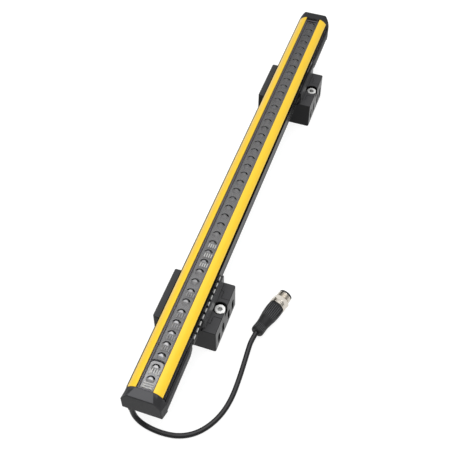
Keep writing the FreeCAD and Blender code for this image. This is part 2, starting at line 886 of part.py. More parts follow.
def cable():
    """Round tube along straight runs that are joined by tangent arcs."""
    points = [Vector(*place) for place in cable_route]
    edges = []
    start = points[0]
    radii = []
    for before, corner, after in zip(points, points[1:], points[2:]):
        run_in = corner - before
        run_out = after - corner
        half_turn = run_in.getAngle(run_out) / 2
        reach = 0.45 * min(run_in.Length, run_out.Length)
        radii.append(reach / math.tan(half_turn))
        direction_in = Vector(run_in).normalize()
        direction_out = Vector(run_out).normalize()
        arc_start = corner - direction_in * reach
        arc_end = corner + direction_out * reach
        towards = (direction_out - direction_in).normalize()
        sagitta = radii[-1] / math.cos(half_turn) - radii[-1]
        edges.append(Part.LineSegment(start, arc_start).toShape())
        edges.append(Part.Arc(arc_start, corner + towards * sagitta, arc_end).toShape())
        start = arc_end
    edges.append(Part.LineSegment(start, points[-1]).toShape())
    path = Part.Wire(edges)
    disc = Part.Wire(Part.makeCircle(cable_diameter / 2, points[0], points[1] - points[0]))
    tube = path.makePipeShell([disc], True, False)
    expected = path.Length * math.pi * cable_diameter ** 2 / 4
    print("cable length", round(path.Length, 1), "volume ratio", round(tube.Volume / expected, 4))
    print("cable radii", [round(radius, 1) for radius in radii])
    return single(tube)


def on_connector_axis(shape):
    """Move a piece made along +X from the origin to the connector's place and direction."""
    end_x, end_y, end_z = cable_route[-1]
    placed = shape.copy()
    placed.rotate(Vector(0, 0, 0), Vector(0, 0, 1), connector_axis_angle)
    return placed.translated(Vector(end_x, end_y, connector_axis_height))


def turned(points):
    """Solid of revolution about +X from points of distance along the axis and radius."""
    corners = [Vector(distance, radius, 0) for distance, radius in points]
    face = Part.Face(Part.makePolygon(corners + [corners[0]]))
    return face.revolve(Vector(0, 0, 0), Vector(1, 0, 0), 360)


def ring(inner, outer, start, end):
    return turned([(start, inner), (end, inner), (end, outer), (start, outer)])


def rod(radius, start, end, y=0.0, z=0.0):
    return Part.makeCylinder(radius, end - start, Vector(start, y, z), Vector(1, 0, 0))


def connector_grip():
    """Moulded grip with a smooth waisted outline and lengthwise grip grooves."""
    curve = Part.BSplineCurve()
    curve.interpolate([Vector(distance, radius, 0) for distance, radius in grip_outline])
    first = Vector(grip_outline[0][0], grip_outline[0][1], 0)
    last = Vector(grip_outline[-1][0], grip_outline[-1][1], 0)
    front = Vector(grip_length, grip_front_radius, 0)
    edges = [
        curve.toShape(),
        Part.LineSegment(last, front).toShape(),
        Part.LineSegment(front, Vector(grip_length, 0, 0)).toShape(),
        Part.LineSegment(Vector(grip_length, 0, 0), Vector(0, 0, 0)).toShape(),
        Part.LineSegment(Vector(0, 0, 0), first).toShape(),
    ]
    body = Part.Face(Part.Wire(edges)).revolve(Vector(0, 0, 0), Vector(1, 0, 0), 360)
    hollow = rod(insert_radius, insert_start(), grip_length)
    crest = max(radius for distance, radius in grip_outline)
    groove = block(grip_rib_start, grip_rib_end, -grip_rib_width / 2, grip_rib_width / 2,
                   crest - grip_rib_depth, crest + 1)
    grooves = []
    for index in range(grip_rib_count):
        cutter = groove.copy()
        cutter.rotate(Vector(0, 0, 0), Vector(1, 0, 0), 360 * index / grip_rib_count)
        grooves.append(cutter)
    return single(on_connector_axis(body.cut([hollow] + grooves)))


def insert_start():
    """Where the contact insert begins inside the grip."""
    return grip_length - pin_root


def nut_start():
    return grip_length + nut_axial_gap


def nut_end():
    return nut_start() + nut_length


def insert_end():
    return nut_end() + nut_axial_gap + tip_ring_length


def contact_insert():
    """Black insert: a solid root with pin holes and a thin round shroud in front."""
    floor = insert_end() - insert_floor_depth
    root = rod(insert_radius, insert_start(), insert_end())
    cavity = rod(insert_radius - insert_wall, floor, insert_end())
    return single(on_connector_axis(root.cut([cavity] + pin_shapes(pin_radius + pin_hole_gap))))


def pin_shapes(radius):
    """The four contacts on a circle and the one in the middle, still along +X."""
    start = insert_end() - insert_floor_depth - pin_root
    end = insert_end() - pin_recess
    places = [(0.0, 0.0)]
    for step in range(4):
        angle = math.radians(45 + 90 * step)
        places.append((pin_circle_radius * math.cos(angle), pin_circle_radius * math.sin(angle)))
    return [rod(radius, start, end, y, z) for y, z in places]


def coupling_nut():
    """Threaded sleeve that turns on the insert: grooved collar, hexagon and thread."""
    bore = insert_radius + nut_running_gap
    collar_end = nut_start() + nut_collar_length
    hex_end = collar_end + nut_hex_length
    third = nut_collar_length / 3
    collar = turned([
        (nut_start(), bore),
        (nut_start(), nut_collar_radius - nut_collar_groove),
        (nut_start() + nut_collar_groove, nut_collar_radius),
        (nut_start() + third, nut_collar_radius),
        (nut_start() + 1.25 * third, nut_collar_radius - nut_collar_groove),
        (nut_start() + 1.75 * third, nut_collar_radius - nut_collar_groove),
        (nut_start() + 2 * third, nut_collar_radius),
        (collar_end - nut_collar_groove, nut_collar_radius),
        (collar_end, nut_collar_radius - nut_collar_groove),
        (collar_end, bore),
    ])
    radius = nut_hex_flat / math.sqrt(3)
    angles = [math.radians(60 * step) for step in range(7)]
    corners = [Vector(collar_end, radius * math.cos(angle), radius * math.sin(angle)) for angle in angles]
    hexagon = Part.Face(Part.makePolygon(corners)).extrude(Vector(nut_hex_length, 0, 0))
    envelope = turned([(collar_end, 0), (collar_end, nut_collar_radius - nut_collar_groove),
                       (hex_end - nut_collar_groove, nut_hex_flat / 2 + nut_collar_groove),
                       (hex_end, nut_thread_radius), (hex_end, 0)])
    hexagon = hexagon.common(envelope)
    thread = ring(bore, nut_thread_radius, hex_end, nut_end())
    core = rod(bore, nut_start(), nut_end())
    return single(on_connector_axis(collar.fuse([hexagon, thread]).cut(core).removeSplitter()))


def tip_ring():
    """Black ring on the insert's tip that keeps the nut on."""
    start = nut_end() + nut_axial_gap
    return on_connector_axis(ring(insert_radius, tip_ring_radius, start, insert_end()))


keep("housing_profile", housing_profile())
keep("yellow_strip_right", yellow_strip())
keep("yellow_strip_left", mirrored_x(yellow_strip()))
keep("edge_trim_right", edge_trim())
keep("edge_trim_left", mirrored_x(edge_trim()))
keep("front_window", front_window())
keep("window_seal", window_seal())
keep("lens_strip", lens_strip())
keep("aperture_strip", aperture_strip())
keep("optics_carrier", optics_carrier())
keep("sensor_board", sensor_board())
keep("beam_diodes", beam_diodes())
keep("drive_chips", drive_chips())
keep("indicator_plate", indicator_plate())
keep("light_guides", light_guides())
keep("power_board", power_board())
keep("capacitors", capacitors())
keep("near_end_cap", near_end_cap())
keep("far_end_cap", far_end_cap())
keep("near_end_sleeve", end_sleeve().cut(shell_screw_holes(-1)))
keep("far_end_sleeve", mirrored_y(end_sleeve()).cut(shell_screw_holes(1)))
keep("near_end_gasket", end_gasket(-1))
keep("far_end_gasket", end_gasket(1))
keep("end_screws", end_screws())
keep("near_bracket_base", bracket_base(near_bracket_y))
keep("far_bracket_base", bracket_base(far_bracket_y))
keep("near_cradle", cradle(near_bracket_y, near_pocket_half))
keep("far_cradle", cradle(far_bracket_y, far_pocket_half))
keep("toothed_spring_right", toothed_spring())
keep("toothed_spring_left", mirrored_x(toothed_spring()))
keep("clamp_jaws", for_both_clamps(clamp_jaw))
keep("clamp_screws", for_both_clamps(clamp_screw))
keep("clamp_nuts", for_both_clamps(clamp_nut))
keep("cable_outlet", cable_outlet())
keep("cable", cable())
keep("connector_grip", connector_grip())
keep("contact_insert", contact_insert())
keep("contact_pins", [on_connector_axis(pin) for pin in pin_shapes(pin_radius)])
keep("coupling_nut", coupling_nut())
keep("tip_ring", tip_ring())

os.makedirs("parts", exist_ok=True)
for name, shape in everything.items():
    shape.exportStep("parts/" + name + ".step")
    print(name, len(shape.Solids), shape.isValid(), round(shape.Volume / 1000, 2))
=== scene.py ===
import json
import math

import bpy
from bpy.props import FloatProperty, FloatVectorProperty, IntProperty, PointerProperty
from mathutils import Matrix, Vector


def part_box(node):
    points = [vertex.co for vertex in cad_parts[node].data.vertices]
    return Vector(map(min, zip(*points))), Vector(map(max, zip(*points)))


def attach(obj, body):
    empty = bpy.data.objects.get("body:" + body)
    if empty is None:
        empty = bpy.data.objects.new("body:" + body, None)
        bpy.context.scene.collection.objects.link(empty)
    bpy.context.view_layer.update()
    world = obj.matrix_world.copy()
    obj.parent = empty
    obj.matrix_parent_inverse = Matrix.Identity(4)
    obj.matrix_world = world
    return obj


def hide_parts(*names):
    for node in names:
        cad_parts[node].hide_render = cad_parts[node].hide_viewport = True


bl_info = {
    "name": "Light Curtain Looks",
    "version": (1, 0, 0),
    "blender": (4, 5, 0),
    "location": "3D View > Sidebar > Light Curtain",
    "description": "Finishes of a light curtain bar, its swivel brackets and plug cable, in a plain studio",
    "category": "Object",
}

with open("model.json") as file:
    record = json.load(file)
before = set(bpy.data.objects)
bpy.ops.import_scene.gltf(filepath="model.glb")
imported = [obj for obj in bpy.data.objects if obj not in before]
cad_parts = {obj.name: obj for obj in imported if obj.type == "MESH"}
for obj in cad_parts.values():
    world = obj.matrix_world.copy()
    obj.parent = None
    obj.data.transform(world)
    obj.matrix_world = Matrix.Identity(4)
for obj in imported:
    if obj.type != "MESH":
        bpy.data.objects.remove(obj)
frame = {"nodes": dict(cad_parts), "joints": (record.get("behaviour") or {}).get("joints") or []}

BODY_BAR = "bar"
BODY_NUT = "nut"

# Centre line of the cable, from the outlet's tip to the plug, in metres
CABLE_ROUTE = [
    (-0.0110, -0.2276, 0.0250),
    (-0.0110, -0.2276, 0.0160),
    (-0.0064, -0.2284, 0.0074),
    (0.0016, -0.2289, 0.0023),
    (0.0135, -0.2297, 0.0023),
    (0.0256, -0.2278, 0.0023),
    (0.0366, -0.2215, 0.0023),
    (0.0450, -0.2108, 0.0023),
    (0.0504, -0.1976, 0.0023),
    (0.0524, -0.1834, 0.0023),
    (0.0523, -0.1686, 0.0023),
    (0.0517, -0.1546, 0.0026),
    (0.0512, -0.1436, 0.0045),
    (0.0511, -0.1346, 0.0066),
    (0.0528, -0.1265, 0.0073),
]

# Places along the nut from its rear end, its radii and the depths of its details
COLLAR_END = 0.0034
HEX_END = 0.0074
NUT_LENGTH = 0.0128
COLLAR_RADIUS = 0.0071
COLLAR_GROOVE = 0.0004
GROOVE_SHARE = 0.35
KNURL_DEPTH = 0.00016
HEX_HALF_FLAT = 0.0065
HEX_CHAMFER = 0.0003
THREAD_RADIUS = 0.00595
THREAD_SLOPE = 1.3
THREAD_CREST = 0.15
THREAD_RUN_IN = 0.0005
THREAD_RUN_OUT = 0.0006
THREAD_TIP_SHARE = 0.15
THREAD_TAPER = 0.0003
NUT_BORE = 0.0045

# Mesh of the nut: points round a ring, distance between rings, and between the two at a step in radius
NUT_ROUNDS = 96
NUT_STEP = 0.0001
NUT_STEP_GAP = 0.00001
NUT_SHARP_ANGLE = math.radians(28)

# Ribs round the plug's grip: their number and depth, the part of the wave that is worn pale, and where the
# two ribbed zones begin and end, measured from the nut's rear end
GRIP_RIBS = 26
GRIP_RIB_DEPTH = 0.0002
GRIP_WORN = (0.1, 0.7)
GRIP_FRONT_ZONE = ((-0.0155, -0.0135), (-0.0025, -0.0015))
GRIP_REAR_ZONE = ((-0.0285, -0.0275), (-0.0235, -0.0225))

# The row of lenses under the window
LENS_COUNT = 44
LENS_PITCH = 0.010
LENS_RADIUS = 0.0033

# Painted light on a lens: edges of its painted shade arc, cosine of the angle from the bar's axis where the
# arc starts, edges of its painted highlight, and where along the bar the painted highlights fade
ARC_INNER = (0.45 * LENS_RADIUS, 0.62 * LENS_RADIUS)
ARC_OUTER = (1.08 * LENS_RADIUS, 1.16 * LENS_RADIUS)
ARC_START = (0.1, 0.4)
PATCH_FRONT = (-0.25 * LENS_RADIUS, 0.0)
PATCH_EDGE = (0.5 * LENS_RADIUS, 0.62 * LENS_RADIUS)
PATCH_FADE = (-0.19, -0.07)

# The window's pane stands back from its solid by this much at its sides, and by twice as much underneath
PANE_GAP = 0.00003
PANE_EDGE = 0.00025

# Printed marks on the underside of the window: rows of short bars, each before the lens of that number
MARK_GAPS_BRIGHT = (1, 11, 12, 13)
MARK_GAPS_FAINT = (3, 4, 5, 6, 8)
MARK_BARS = 4
MARK_PITCH = 0.0018
MARK_WIDTH = 0.0009
MARK_LENGTH = 0.0038
MARK_AHEAD = 0.0036
MARK_SHIFT = 0.0013
PRINT_GAP = 0.00002
PRINT_THICKNESS = 0.0001

# Short lines printed across the window's cable end, from its edge inwards
END_LINES = 3
END_LINE_START = 0.0026
END_LINE_PITCH = 0.0019
END_LINE_WIDTH = 0.0008
END_LINE_SIDES = (-0.0036, 0.0042)

# Thin frame round the inner end of the indicator plate: radius of the plate's corners, steps round a corner,
# distance of the frame's two edges from the plate, length of its legs, and its levels over the plate's
FRAME_CORNER = 0.003
FRAME_STEPS = 8
FRAME_EDGES = (0.00015, 0.0016)
FRAME_LEG = 0.006
FRAME_LEVELS = (0.00002, 0.0001)

# Soft edges of shades, as heights over the piece's own top, or over the near cradle's lip for the springs
SOCKET_EDGES = (-0.0012, -0.0004)
SPRING_EDGES = (0.0001, 0.0005)
JAW_EDGES = (-0.0006, -0.0002)
TRIM_EDGES = (-0.0004, -0.0002)

# Colours that have no setting in the panel
# Painted shade in the jaws' recess below their top
PAINTED_RECESS_SHADE = (0.003, 0.003, 0.003)
# Painted shade of the lens arcs, and painted highlight on the lens domes
PAINTED_ARC_SHADE = (0.002, 0.002, 0.002)
PAINTED_GLINT_WHITE = (0.9, 0.9, 0.93)
TRIM_BLACK = (0.008, 0.008, 0.008)
CABLE_BLACK = (0.018, 0.018, 0.019)
# Pale top of the cable, a dusting that is also a painted highlight
CABLE_DUST_AND_TOP_LIGHT = (0.055, 0.054, 0.056)

# The studio: half the floor's side, its drop under the part, its glow, and the soft lamp's side and place
FLOOR_REACH = 6.0
FLOOR_DROP = 0.0001
FLOOR_GLOW = 0.80
LAMP_SIDE = 0.6
LAMP_PLACE = (0.15, -0.28, 0.75)
SENSOR_WIDTH = 36

# Brightness of the room at heights from the horizon, 0, to straight overhead, 1
ROOM_LEVELS = [(0.0, 0.70), (0.06, 0.66), (0.16, 0.22), (0.52, 0.30), (0.90, 0.95), (1.0, 1.0)]


class BarLooks(bpy.types.PropertyGroup):
    """Colours of the bar and its window."""
    yellow: FloatVectorProperty(
        name="Yellow", description="Colour of the two shoulder strips",
        subtype="COLOR", size=3, min=0, max=1, default=(0.96, 0.62, 0.028))
    aluminium: FloatVectorProperty(
        name="Aluminium", description="Colour of the anodised profile",
        subtype="COLOR", size=3, min=0, max=1, default=(0.26, 0.26, 0.26))
    charcoal: FloatVectorProperty(
        name="Charcoal", description="Colour of the end caps and sleeves",
        subtype="COLOR", size=3, min=0, max=1, default=(0.034, 0.034, 0.036))
    window_tint: FloatVectorProperty(
        name="Window tint", description="Colour of the smoky window",
        subtype="COLOR", size=3, min=0, max=1, default=(0.030, 0.030, 0.034))
    window_cover: FloatProperty(
        name="Window cover", description="How much the window hides what lies under it",
        subtype="FACTOR", min=0, max=1, default=0.12)
    lens_colour: FloatVectorProperty(
        name="Lens colour", description="Colour of the lens strip under the window",
        subtype="COLOR", size=3, min=0, max=1, default=(0.20, 0.20, 0.205))


class BracketLooks(bpy.types.PropertyGroup):
    """Colours of the brackets, their springs and screws."""
    black: FloatVectorProperty(
        name="Black", description="Colour of the moulded bracket pieces",
        subtype="COLOR", size=3, min=0, max=1, default=(0.022, 0.022, 0.023))
    spring: FloatVectorProperty(
        name="Spring steel", description="Colour of the toothed springs",
        subtype="COLOR", size=3, min=0, max=1, default=(0.85, 0.85, 0.83))
    zinc: FloatVectorProperty(
        name="Zinc", description="Colour of the plated screws and nuts",
        subtype="COLOR", size=3, min=0, max=1, default=(0.88, 0.88, 0.87))


class CableLooks(bpy.types.PropertyGroup):
    """Sizes and colours of the cable and its plug."""
    diameter: FloatProperty(
        name="Cable diameter", description="Outer diameter of the cable's jacket",
        subtype="DISTANCE", unit="LENGTH", min=0.002, max=0.01, default=0.0042)
    nickel: FloatVectorProperty(
        name="Nickel", description="Colour of the plug's coupling nut",
        subtype="COLOR", size=3, min=0, max=1, default=(0.60, 0.56, 0.50))
    thread_pitch: FloatProperty(
        name="Thread pitch", description="Distance from one turn of the thread to the next",
        subtype="DISTANCE", unit="LENGTH", min=0.0005, max=0.002, default=0.001)
    thread_depth: FloatProperty(
        name="Thread depth", description="Depth of the thread's groove",
        subtype="DISTANCE", unit="LENGTH", min=0.0002, max=0.001, default=0.00055)
    knurl_count: IntProperty(
        name="Collar grooves", description="Number of grip grooves round the nut's collar",
        min=8, max=60, default=32)


class StudioSetup(bpy.types.PropertyGroup):
    """Camera place, floor and lamps."""
    camera_place: FloatVectorProperty(
        name="Camera place", description="Where the camera stands",
        subtype="XYZ", unit="LENGTH", size=3, default=(0.14355, -0.45381, 0.56870))
    camera_turn: FloatVectorProperty(
        name="Camera turn", description="Turn of the camera about X, Y and Z",
        subtype="EULER", unit="ROTATION", size=3,
        default=tuple(math.radians(angle) for angle in (38.7186, 0.2425, 19.3607)))
    camera_lens: FloatProperty(
        name="Lens", description="Focal length in millimetres for a 36 mm wide picture",
        min=20, max=200, default=64.45)
    floor_colour: FloatVectorProperty(
        name="Floor", description="Colour of the floor",
        subtype="COLOR", size=3, min=0, max=1, default=(0.30, 0.30, 0.30))
    key_power: FloatProperty(
        name="Key lamp", description="Power of the soft lamp over the cable end",
        subtype="POWER", unit="POWER", min=0, max=200, default=2.3)
    sky_strength: FloatProperty(
        name="Room light", description="Strength of the soft light overhead",
        min=0, max=3, default=1.45)


def toned(colour, share):
    """Colour made lighter or darker by a share, at most white."""
    return tuple(min(share * part, 1.0) for part in colour)


def clamp(value, low=0.0, high=1.0):
    """Value kept between two bounds."""
    return min(max(value, low), high)


def new_group(name, inputs, outputs):
    """Empty shader group with named sockets. Returns the group, and its inputs and outputs for links."""
    group = bpy.data.node_groups.new(name, "ShaderNodeTree")
    for socket_name, kind, value in inputs:
        socket = group.interface.new_socket(socket_name, in_out="INPUT", socket_type=f"NodeSocket{kind}")
        socket.default_value = value
    for socket_name, kind in outputs:
        group.interface.new_socket(socket_name, in_out="OUTPUT", socket_type=f"NodeSocket{kind}")
    return group, group.nodes.new("NodeGroupInput").outputs, group.nodes.new("NodeGroupOutput").inputs


def add(tree, kind, values=None, **settings):
    """New node with its settings and the plain values of its inputs."""
    node = tree.nodes.new(kind)
    for name, value in settings.items():
        setattr(node, name, value)
    for name, value in (values or {}).items():
        node.inputs[name].default_value = value
    return node


def put_group(tree, build, values):
    """Shared group placed in a material with its own plain values. Its first use builds it."""
    name = build.__name__.replace("_", " ").title()
    if name not in bpy.data.node_groups:
        build(name)
    return add(tree, "ShaderNodeGroup", values, node_tree=bpy.data.node_groups[name])


def feed(tree, value, socket):
    """Give an input a link or a plain value."""
    if isinstance(value, bpy.types.NodeSocket):
        tree.links.new(value, socket)
    else:
        socket.default_value = value


def calculate(tree, operation, *values):
    """Math node for one or two values or links."""
    node = add(tree, "ShaderNodeMath", operation=operation)
    for value, socket in zip(values, node.inputs):
        feed(tree, value, socket)
    return node.outputs[0]


def product(tree, *values):
    """Product of several values or links."""
    total = values[0]
    for value in values[1:]:
        total = calculate(tree, "MULTIPLY", total, value)
    return total


def rising(tree, value, low, high):
    """Mask that goes from 0 to 1 as a link goes from low to high, both values or links."""
    node = add(tree, "ShaderNodeMapRange")
    for name, given in (("Value", value), ("From Min", low), ("From Max", high)):
        feed(tree, given, node.inputs[name])
    return node.outputs["Result"]


def falling(tree, value, low, high):
    """Mask that goes from 1 to 0 as a link goes from low to high, both values or links."""
    return rising(tree, value, high, low)


def band(tree, value, first_edge, last_edge):
    """Mask of the values between two edges, each given by where it begins and ends."""
    return product(tree, rising(tree, value, *first_edge), falling(tree, value, *last_edge))


def mix_colours(tree, mask, first, second):
    """Mix of two colours by a mask. Each colour is a value or a link."""
    node = add(tree, "ShaderNodeMix", data_type="RGBA")
    tree.links.new(mask, node.inputs[0])
    for colour, socket in ((first, node.inputs[6]), (second, node.inputs[7])):
        linked = isinstance(colour, bpy.types.NodeSocket)
        feed(tree, colour if linked else (*colour, 1.0), socket)
    return node.outputs[2]


def brightened(tree, colour, factor):
    """Colour link times a factor link."""
    node = add(tree, "ShaderNodeVectorMath", operation="SCALE")
    tree.links.new(colour, node.inputs[0])
    tree.links.new(factor, node.inputs["Scale"])
    return node.outputs["Vector"]


def object_place(tree):
    """Place on the object, the same as in the model."""
    return add(tree, "ShaderNodeTexCoord").outputs["Object"]


def place_parts(tree):
    """Place on the object along each axis, as outputs X, Y and Z."""
    parts = add(tree, "ShaderNodeSeparateXYZ")
    tree.links.new(object_place(tree), parts.inputs["Vector"])
    return parts.outputs


def moulded_grain(name):
    """Fine spark-eroded grain of a moulded surface, with soft cloudy patches."""
    group, given, result = new_group(
        name,
        [("Color", "Color", (0.5, 0.5, 0.5, 1.0)),
         ("Grain Scale", "Float", 2200.0),
         ("Speckle", "Float", 0.2),
         ("Roughness", "Float", 0.5),
         ("Roughness Spread", "Float", 0.1)],
        [("Color", "Color"), ("Roughness", "Float"), ("Height", "Float")])
    grain = add(group, "ShaderNodeTexNoise", {"Detail": 3.0, "Roughness": 0.6})
    patches = add(group, "ShaderNodeTexNoise", {"Scale": 45.0, "Detail": 2.0})
    place = object_place(group)
    for texture in (grain, patches):
        group.links.new(place, texture.inputs["Vector"])
    group.links.new(given["Grain Scale"], grain.inputs["Scale"])
    grain_share, patch_share = 0.6, 0.4
    lift = calculate(group, "ADD", product(group, grain.outputs["Fac"], grain_share),
                     product(group, patches.outputs["Fac"], patch_share))
    swing = product(group, calculate(group, "SUBTRACT", lift, 0.5), given["Speckle"])
    bright = calculate(group, "ADD", product(group, swing, 2.0), 1.0)
    group.links.new(brightened(group, given["Color"], bright), result["Color"])
    uneven = product(group, calculate(group, "SUBTRACT", patches.outputs["Fac"], 0.5),
                     given["Roughness Spread"])
    group.links.new(calculate(group, "ADD", given["Roughness"], uneven), result["Roughness"])
    group.links.new(grain.outputs["Fac"], result["Height"])


def drawn_lines(name):
    """Fine lines along the bar, as a die leaves them on a drawn profile."""
    group, given, result = new_group(
        name,
        [("Color", "Color", (0.5, 0.5, 0.5, 1.0)),
         ("Line Depth", "Float", 0.2),
         ("Roughness", "Float", 0.35),
         ("Roughness Spread", "Float", 0.1)],
        [("Color", "Color"), ("Roughness", "Float"), ("Height", "Float")])
    stretched = add(group, "ShaderNodeMapping", {"Scale": (1500.0, 9.0, 1500.0)})
    group.links.new(object_place(group), stretched.inputs["Vector"])
    lines = add(group, "ShaderNodeTexNoise", {"Scale": 1.0, "Detail": 4.0, "Roughness": 0.65})
    group.links.new(stretched.outputs["Vector"], lines.inputs["Vector"])
    centred = calculate(group, "SUBTRACT", lines.outputs["Fac"], 0.5)
    bright = calculate(group, "ADD", product(group, centred, given["Line Depth"]), 1.0)
    group.links.new(brightened(group, given["Color"], bright), result["Color"])
    uneven = product(group, centred, given["Roughness Spread"])
    group.links.new(calculate(group, "ADD", given["Roughness"], uneven), result["Roughness"])
    group.links.new(lines.outputs["Fac"], result["Height"])


def softened_edges(name):
    """Rounded normal at sharp edges and a mask of those edges."""
    group, given, result = new_group(
        name,
        [("Radius", "Float", 0.0003)],
        [("Normal", "Vector"), ("Edge", "Float")])
    bevel = add(group, "ShaderNodeBevel", samples=4)
    group.links.new(given["Radius"], bevel.inputs["Radius"])
    geometry = add(group, "ShaderNodeNewGeometry")
    likeness = add(group, "ShaderNodeVectorMath", operation="DOT_PRODUCT")
    group.links.new(bevel.outputs["Normal"], likeness.inputs[0])
    group.links.new(geometry.outputs["True Normal"], likeness.inputs[1])
    full_edge, no_edge = 0.85, 0.995
    group.links.new(bevel.outputs["Normal"], result["Normal"])
    group.links.new(falling(group, likeness.outputs["Value"], full_edge, no_edge), result["Edge"])


def dust_and_painted_top_light(name):
    """Paler colour on the faces that look up, in soft patches: a dusting, and painted light on top faces."""
    group, given, result = new_group(
        name,
        [("Color", "Color", (0.5, 0.5, 0.5, 1.0)),
         ("Dust And Light Color", "Color", (0.5, 0.5, 0.5, 1.0))],
        [("Color", "Color")])
    geometry = add(group, "ShaderNodeNewGeometry")
    parts = add(group, "ShaderNodeSeparateXYZ")
    group.links.new(geometry.outputs["Normal"], parts.inputs["Vector"])
    no_dust_or_light, full_dust_and_light = 0.86, 0.97
    upward = rising(group, parts.outputs["Z"], no_dust_or_light, full_dust_and_light)
    patches = add(group, "ShaderNodeTexNoise", {"Scale": 60.0, "Detail": 2.0})
    group.links.new(object_place(group), patches.inputs["Vector"])
    patch_share, least_dust_and_light = 0.5, 0.75
    spread = calculate(group, "ADD", product(group, patches.outputs["Fac"], patch_share), least_dust_and_light)
    mixed = mix_colours(group, product(group, upward, spread), given["Color"], given["Dust And Light Color"])
    group.links.new(mixed, result["Color"])


def sunken_shade(name):
    """Shade below a level, as inside recesses that little light reaches."""
    group, given, result = new_group(
        name,
        [("Color", "Color", (0.5, 0.5, 0.5, 1.0)),
         ("Shade Color", "Color", (0.0, 0.0, 0.0, 1.0)),
         ("Shaded Level", "Float", 0.0),
         ("Open Level", "Float", 0.001)],
        [("Color", "Color")])
    sunk = falling(group, place_parts(group)["Z"], given["Shaded Level"], given["Open Level"])
    mixed = mix_colours(group, sunk, given["Color"], given["Shade Color"])
    group.links.new(mixed, result["Color"])


def shade_below(tree, colour, shade, level, edges):
    """Colour link that turns to the shade between two heights over a level."""
    lower, upper = edges
    sunk = put_group(tree, sunken_shade, {
        "Shade Color": (*shade, 1.0), "Shaded Level": level + lower, "Open Level": level + upper})
    tree.links.new(colour, sunk.inputs["Color"])
    return sunk.outputs["Color"]


def new_finish(name, sockets):
    """Material with one shader and its plain values. Returns it, its tree and the shader's inputs."""
    material = bpy.data.materials.new(name)
    material.use_nodes = True
    tree = material.node_tree
    inputs = tree.nodes["Principled BSDF"].inputs
    for socket, value in sockets.items():
        inputs[socket].default_value = value
    return material, tree, inputs


def paint(tree, inputs, colour, roughness):
    """Join a colour link and a roughness link to the shader."""
    tree.links.new(colour, inputs["Base Color"])
    tree.links.new(roughness, inputs["Roughness"])


def surface_detail(tree, inputs, pattern, relief, edge_radius, edge_colour=None, dust_and_top_light=None, sunk=None):
    """Join a pattern to the shader, with a dusting and painted top light, edges, and painted shade in a
    recess (level and edges) if given.
    """
    colour = pattern.outputs["Color"]
    if dust_and_top_light:
        dusted_and_lit = put_group(tree, dust_and_painted_top_light, {"Dust And Light Color": (*dust_and_top_light, 1.0)})
        tree.links.new(colour, dusted_and_lit.inputs["Color"])
        colour = dusted_and_lit.outputs["Color"]
    bump = add(tree, "ShaderNodeBump", {"Strength": 0.6, "Distance": relief})
    tree.links.new(pattern.outputs["Height"], bump.inputs["Height"])
    if edge_radius:
        edges = put_group(tree, softened_edges, {"Radius": edge_radius})
        tree.links.new(edges.outputs["Normal"], bump.inputs["Normal"])
        if edge_colour:
            colour = mix_colours(tree, edges.outputs["Edge"], colour, edge_colour)
    if sunk:
        colour = shade_below(tree, colour, PAINTED_RECESS_SHADE, *sunk)
    paint(tree, inputs, colour, pattern.outputs["Roughness"])
    tree.links.new(bump.outputs["Normal"], inputs["Normal"])


def moulded_plastic(name, colour, roughness, speckle=0.25, grain_scale=2200.0, relief=0.00003,
                    edge_radius=0.0003, edge_colour=None, dust_and_top_light=None, sunk=None, sockets=None):
    """Moulded plastic or rubber with a fine grain, and with edges, a dusting with painted top light, and
    painted recess shade if given.
    """
    material, tree, inputs = new_finish(name, {"IOR": 1.5, **(sockets or {})})
    pattern = put_group(tree, moulded_grain, {
        "Color": (*colour, 1.0), "Grain Scale": grain_scale, "Speckle": speckle,
        "Roughness": roughness, "Roughness Spread": 0.25})
    surface_detail(tree, inputs, pattern, relief, edge_radius, edge_colour, dust_and_top_light, sunk)
    return material


def anodised_finish(colour):
    """Anodised profile with fine drawn lines and paler edges."""
    material, tree, inputs = new_finish("Anodised Aluminium", {
        "Metallic": 1.0, "Specular Tint": (0.36, 0.36, 0.36, 1.0)})
    pattern = put_group(tree, drawn_lines, {
        "Color": (*colour, 1.0), "Line Depth": 0.25, "Roughness": 0.2, "Roughness Spread": 0.3})
    surface_detail(tree, inputs, pattern, relief=0.00001, edge_radius=0.0002,
                   edge_colour=toned(colour, share=1.3))
    return material


def plated_metal(name, colour, roughness):
    """Plated or turned metal with a slightly uneven shine."""
    material, tree, inputs = new_finish(name, {"Metallic": 1.0})
    pattern = put_group(tree, moulded_grain, {
        "Color": (*colour, 1.0), "Grain Scale": 900.0, "Speckle": 0.12,
        "Roughness": roughness, "Roughness Spread": 0.2})
    surface_detail(tree, inputs, pattern, relief=0.000008, edge_radius=0.00015)
    return material


def smoky_window_finish(tint, cover):
    """Clear smoky plastic, whose cover hides part of what lies under it."""
    material, tree, inputs = new_finish("Smoky Window", {"IOR": 1.55, "Alpha": cover})
    pattern = put_group(tree, moulded_grain, {
        "Color": (*tint, 1.0), "Grain Scale": 60.0, "Speckle": 0.10,
        "Roughness": 0.05, "Roughness Spread": 0.04})
    paint(tree, inputs, pattern.outputs["Color"], pattern.outputs["Roughness"])
    return material


def first_lens():
    """Place of the first lens along the bar, from the middle between the first and last diode."""
    low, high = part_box("beam_diodes")
    return (low.y + high.y - (LENS_COUNT - 1) * LENS_PITCH) / 2


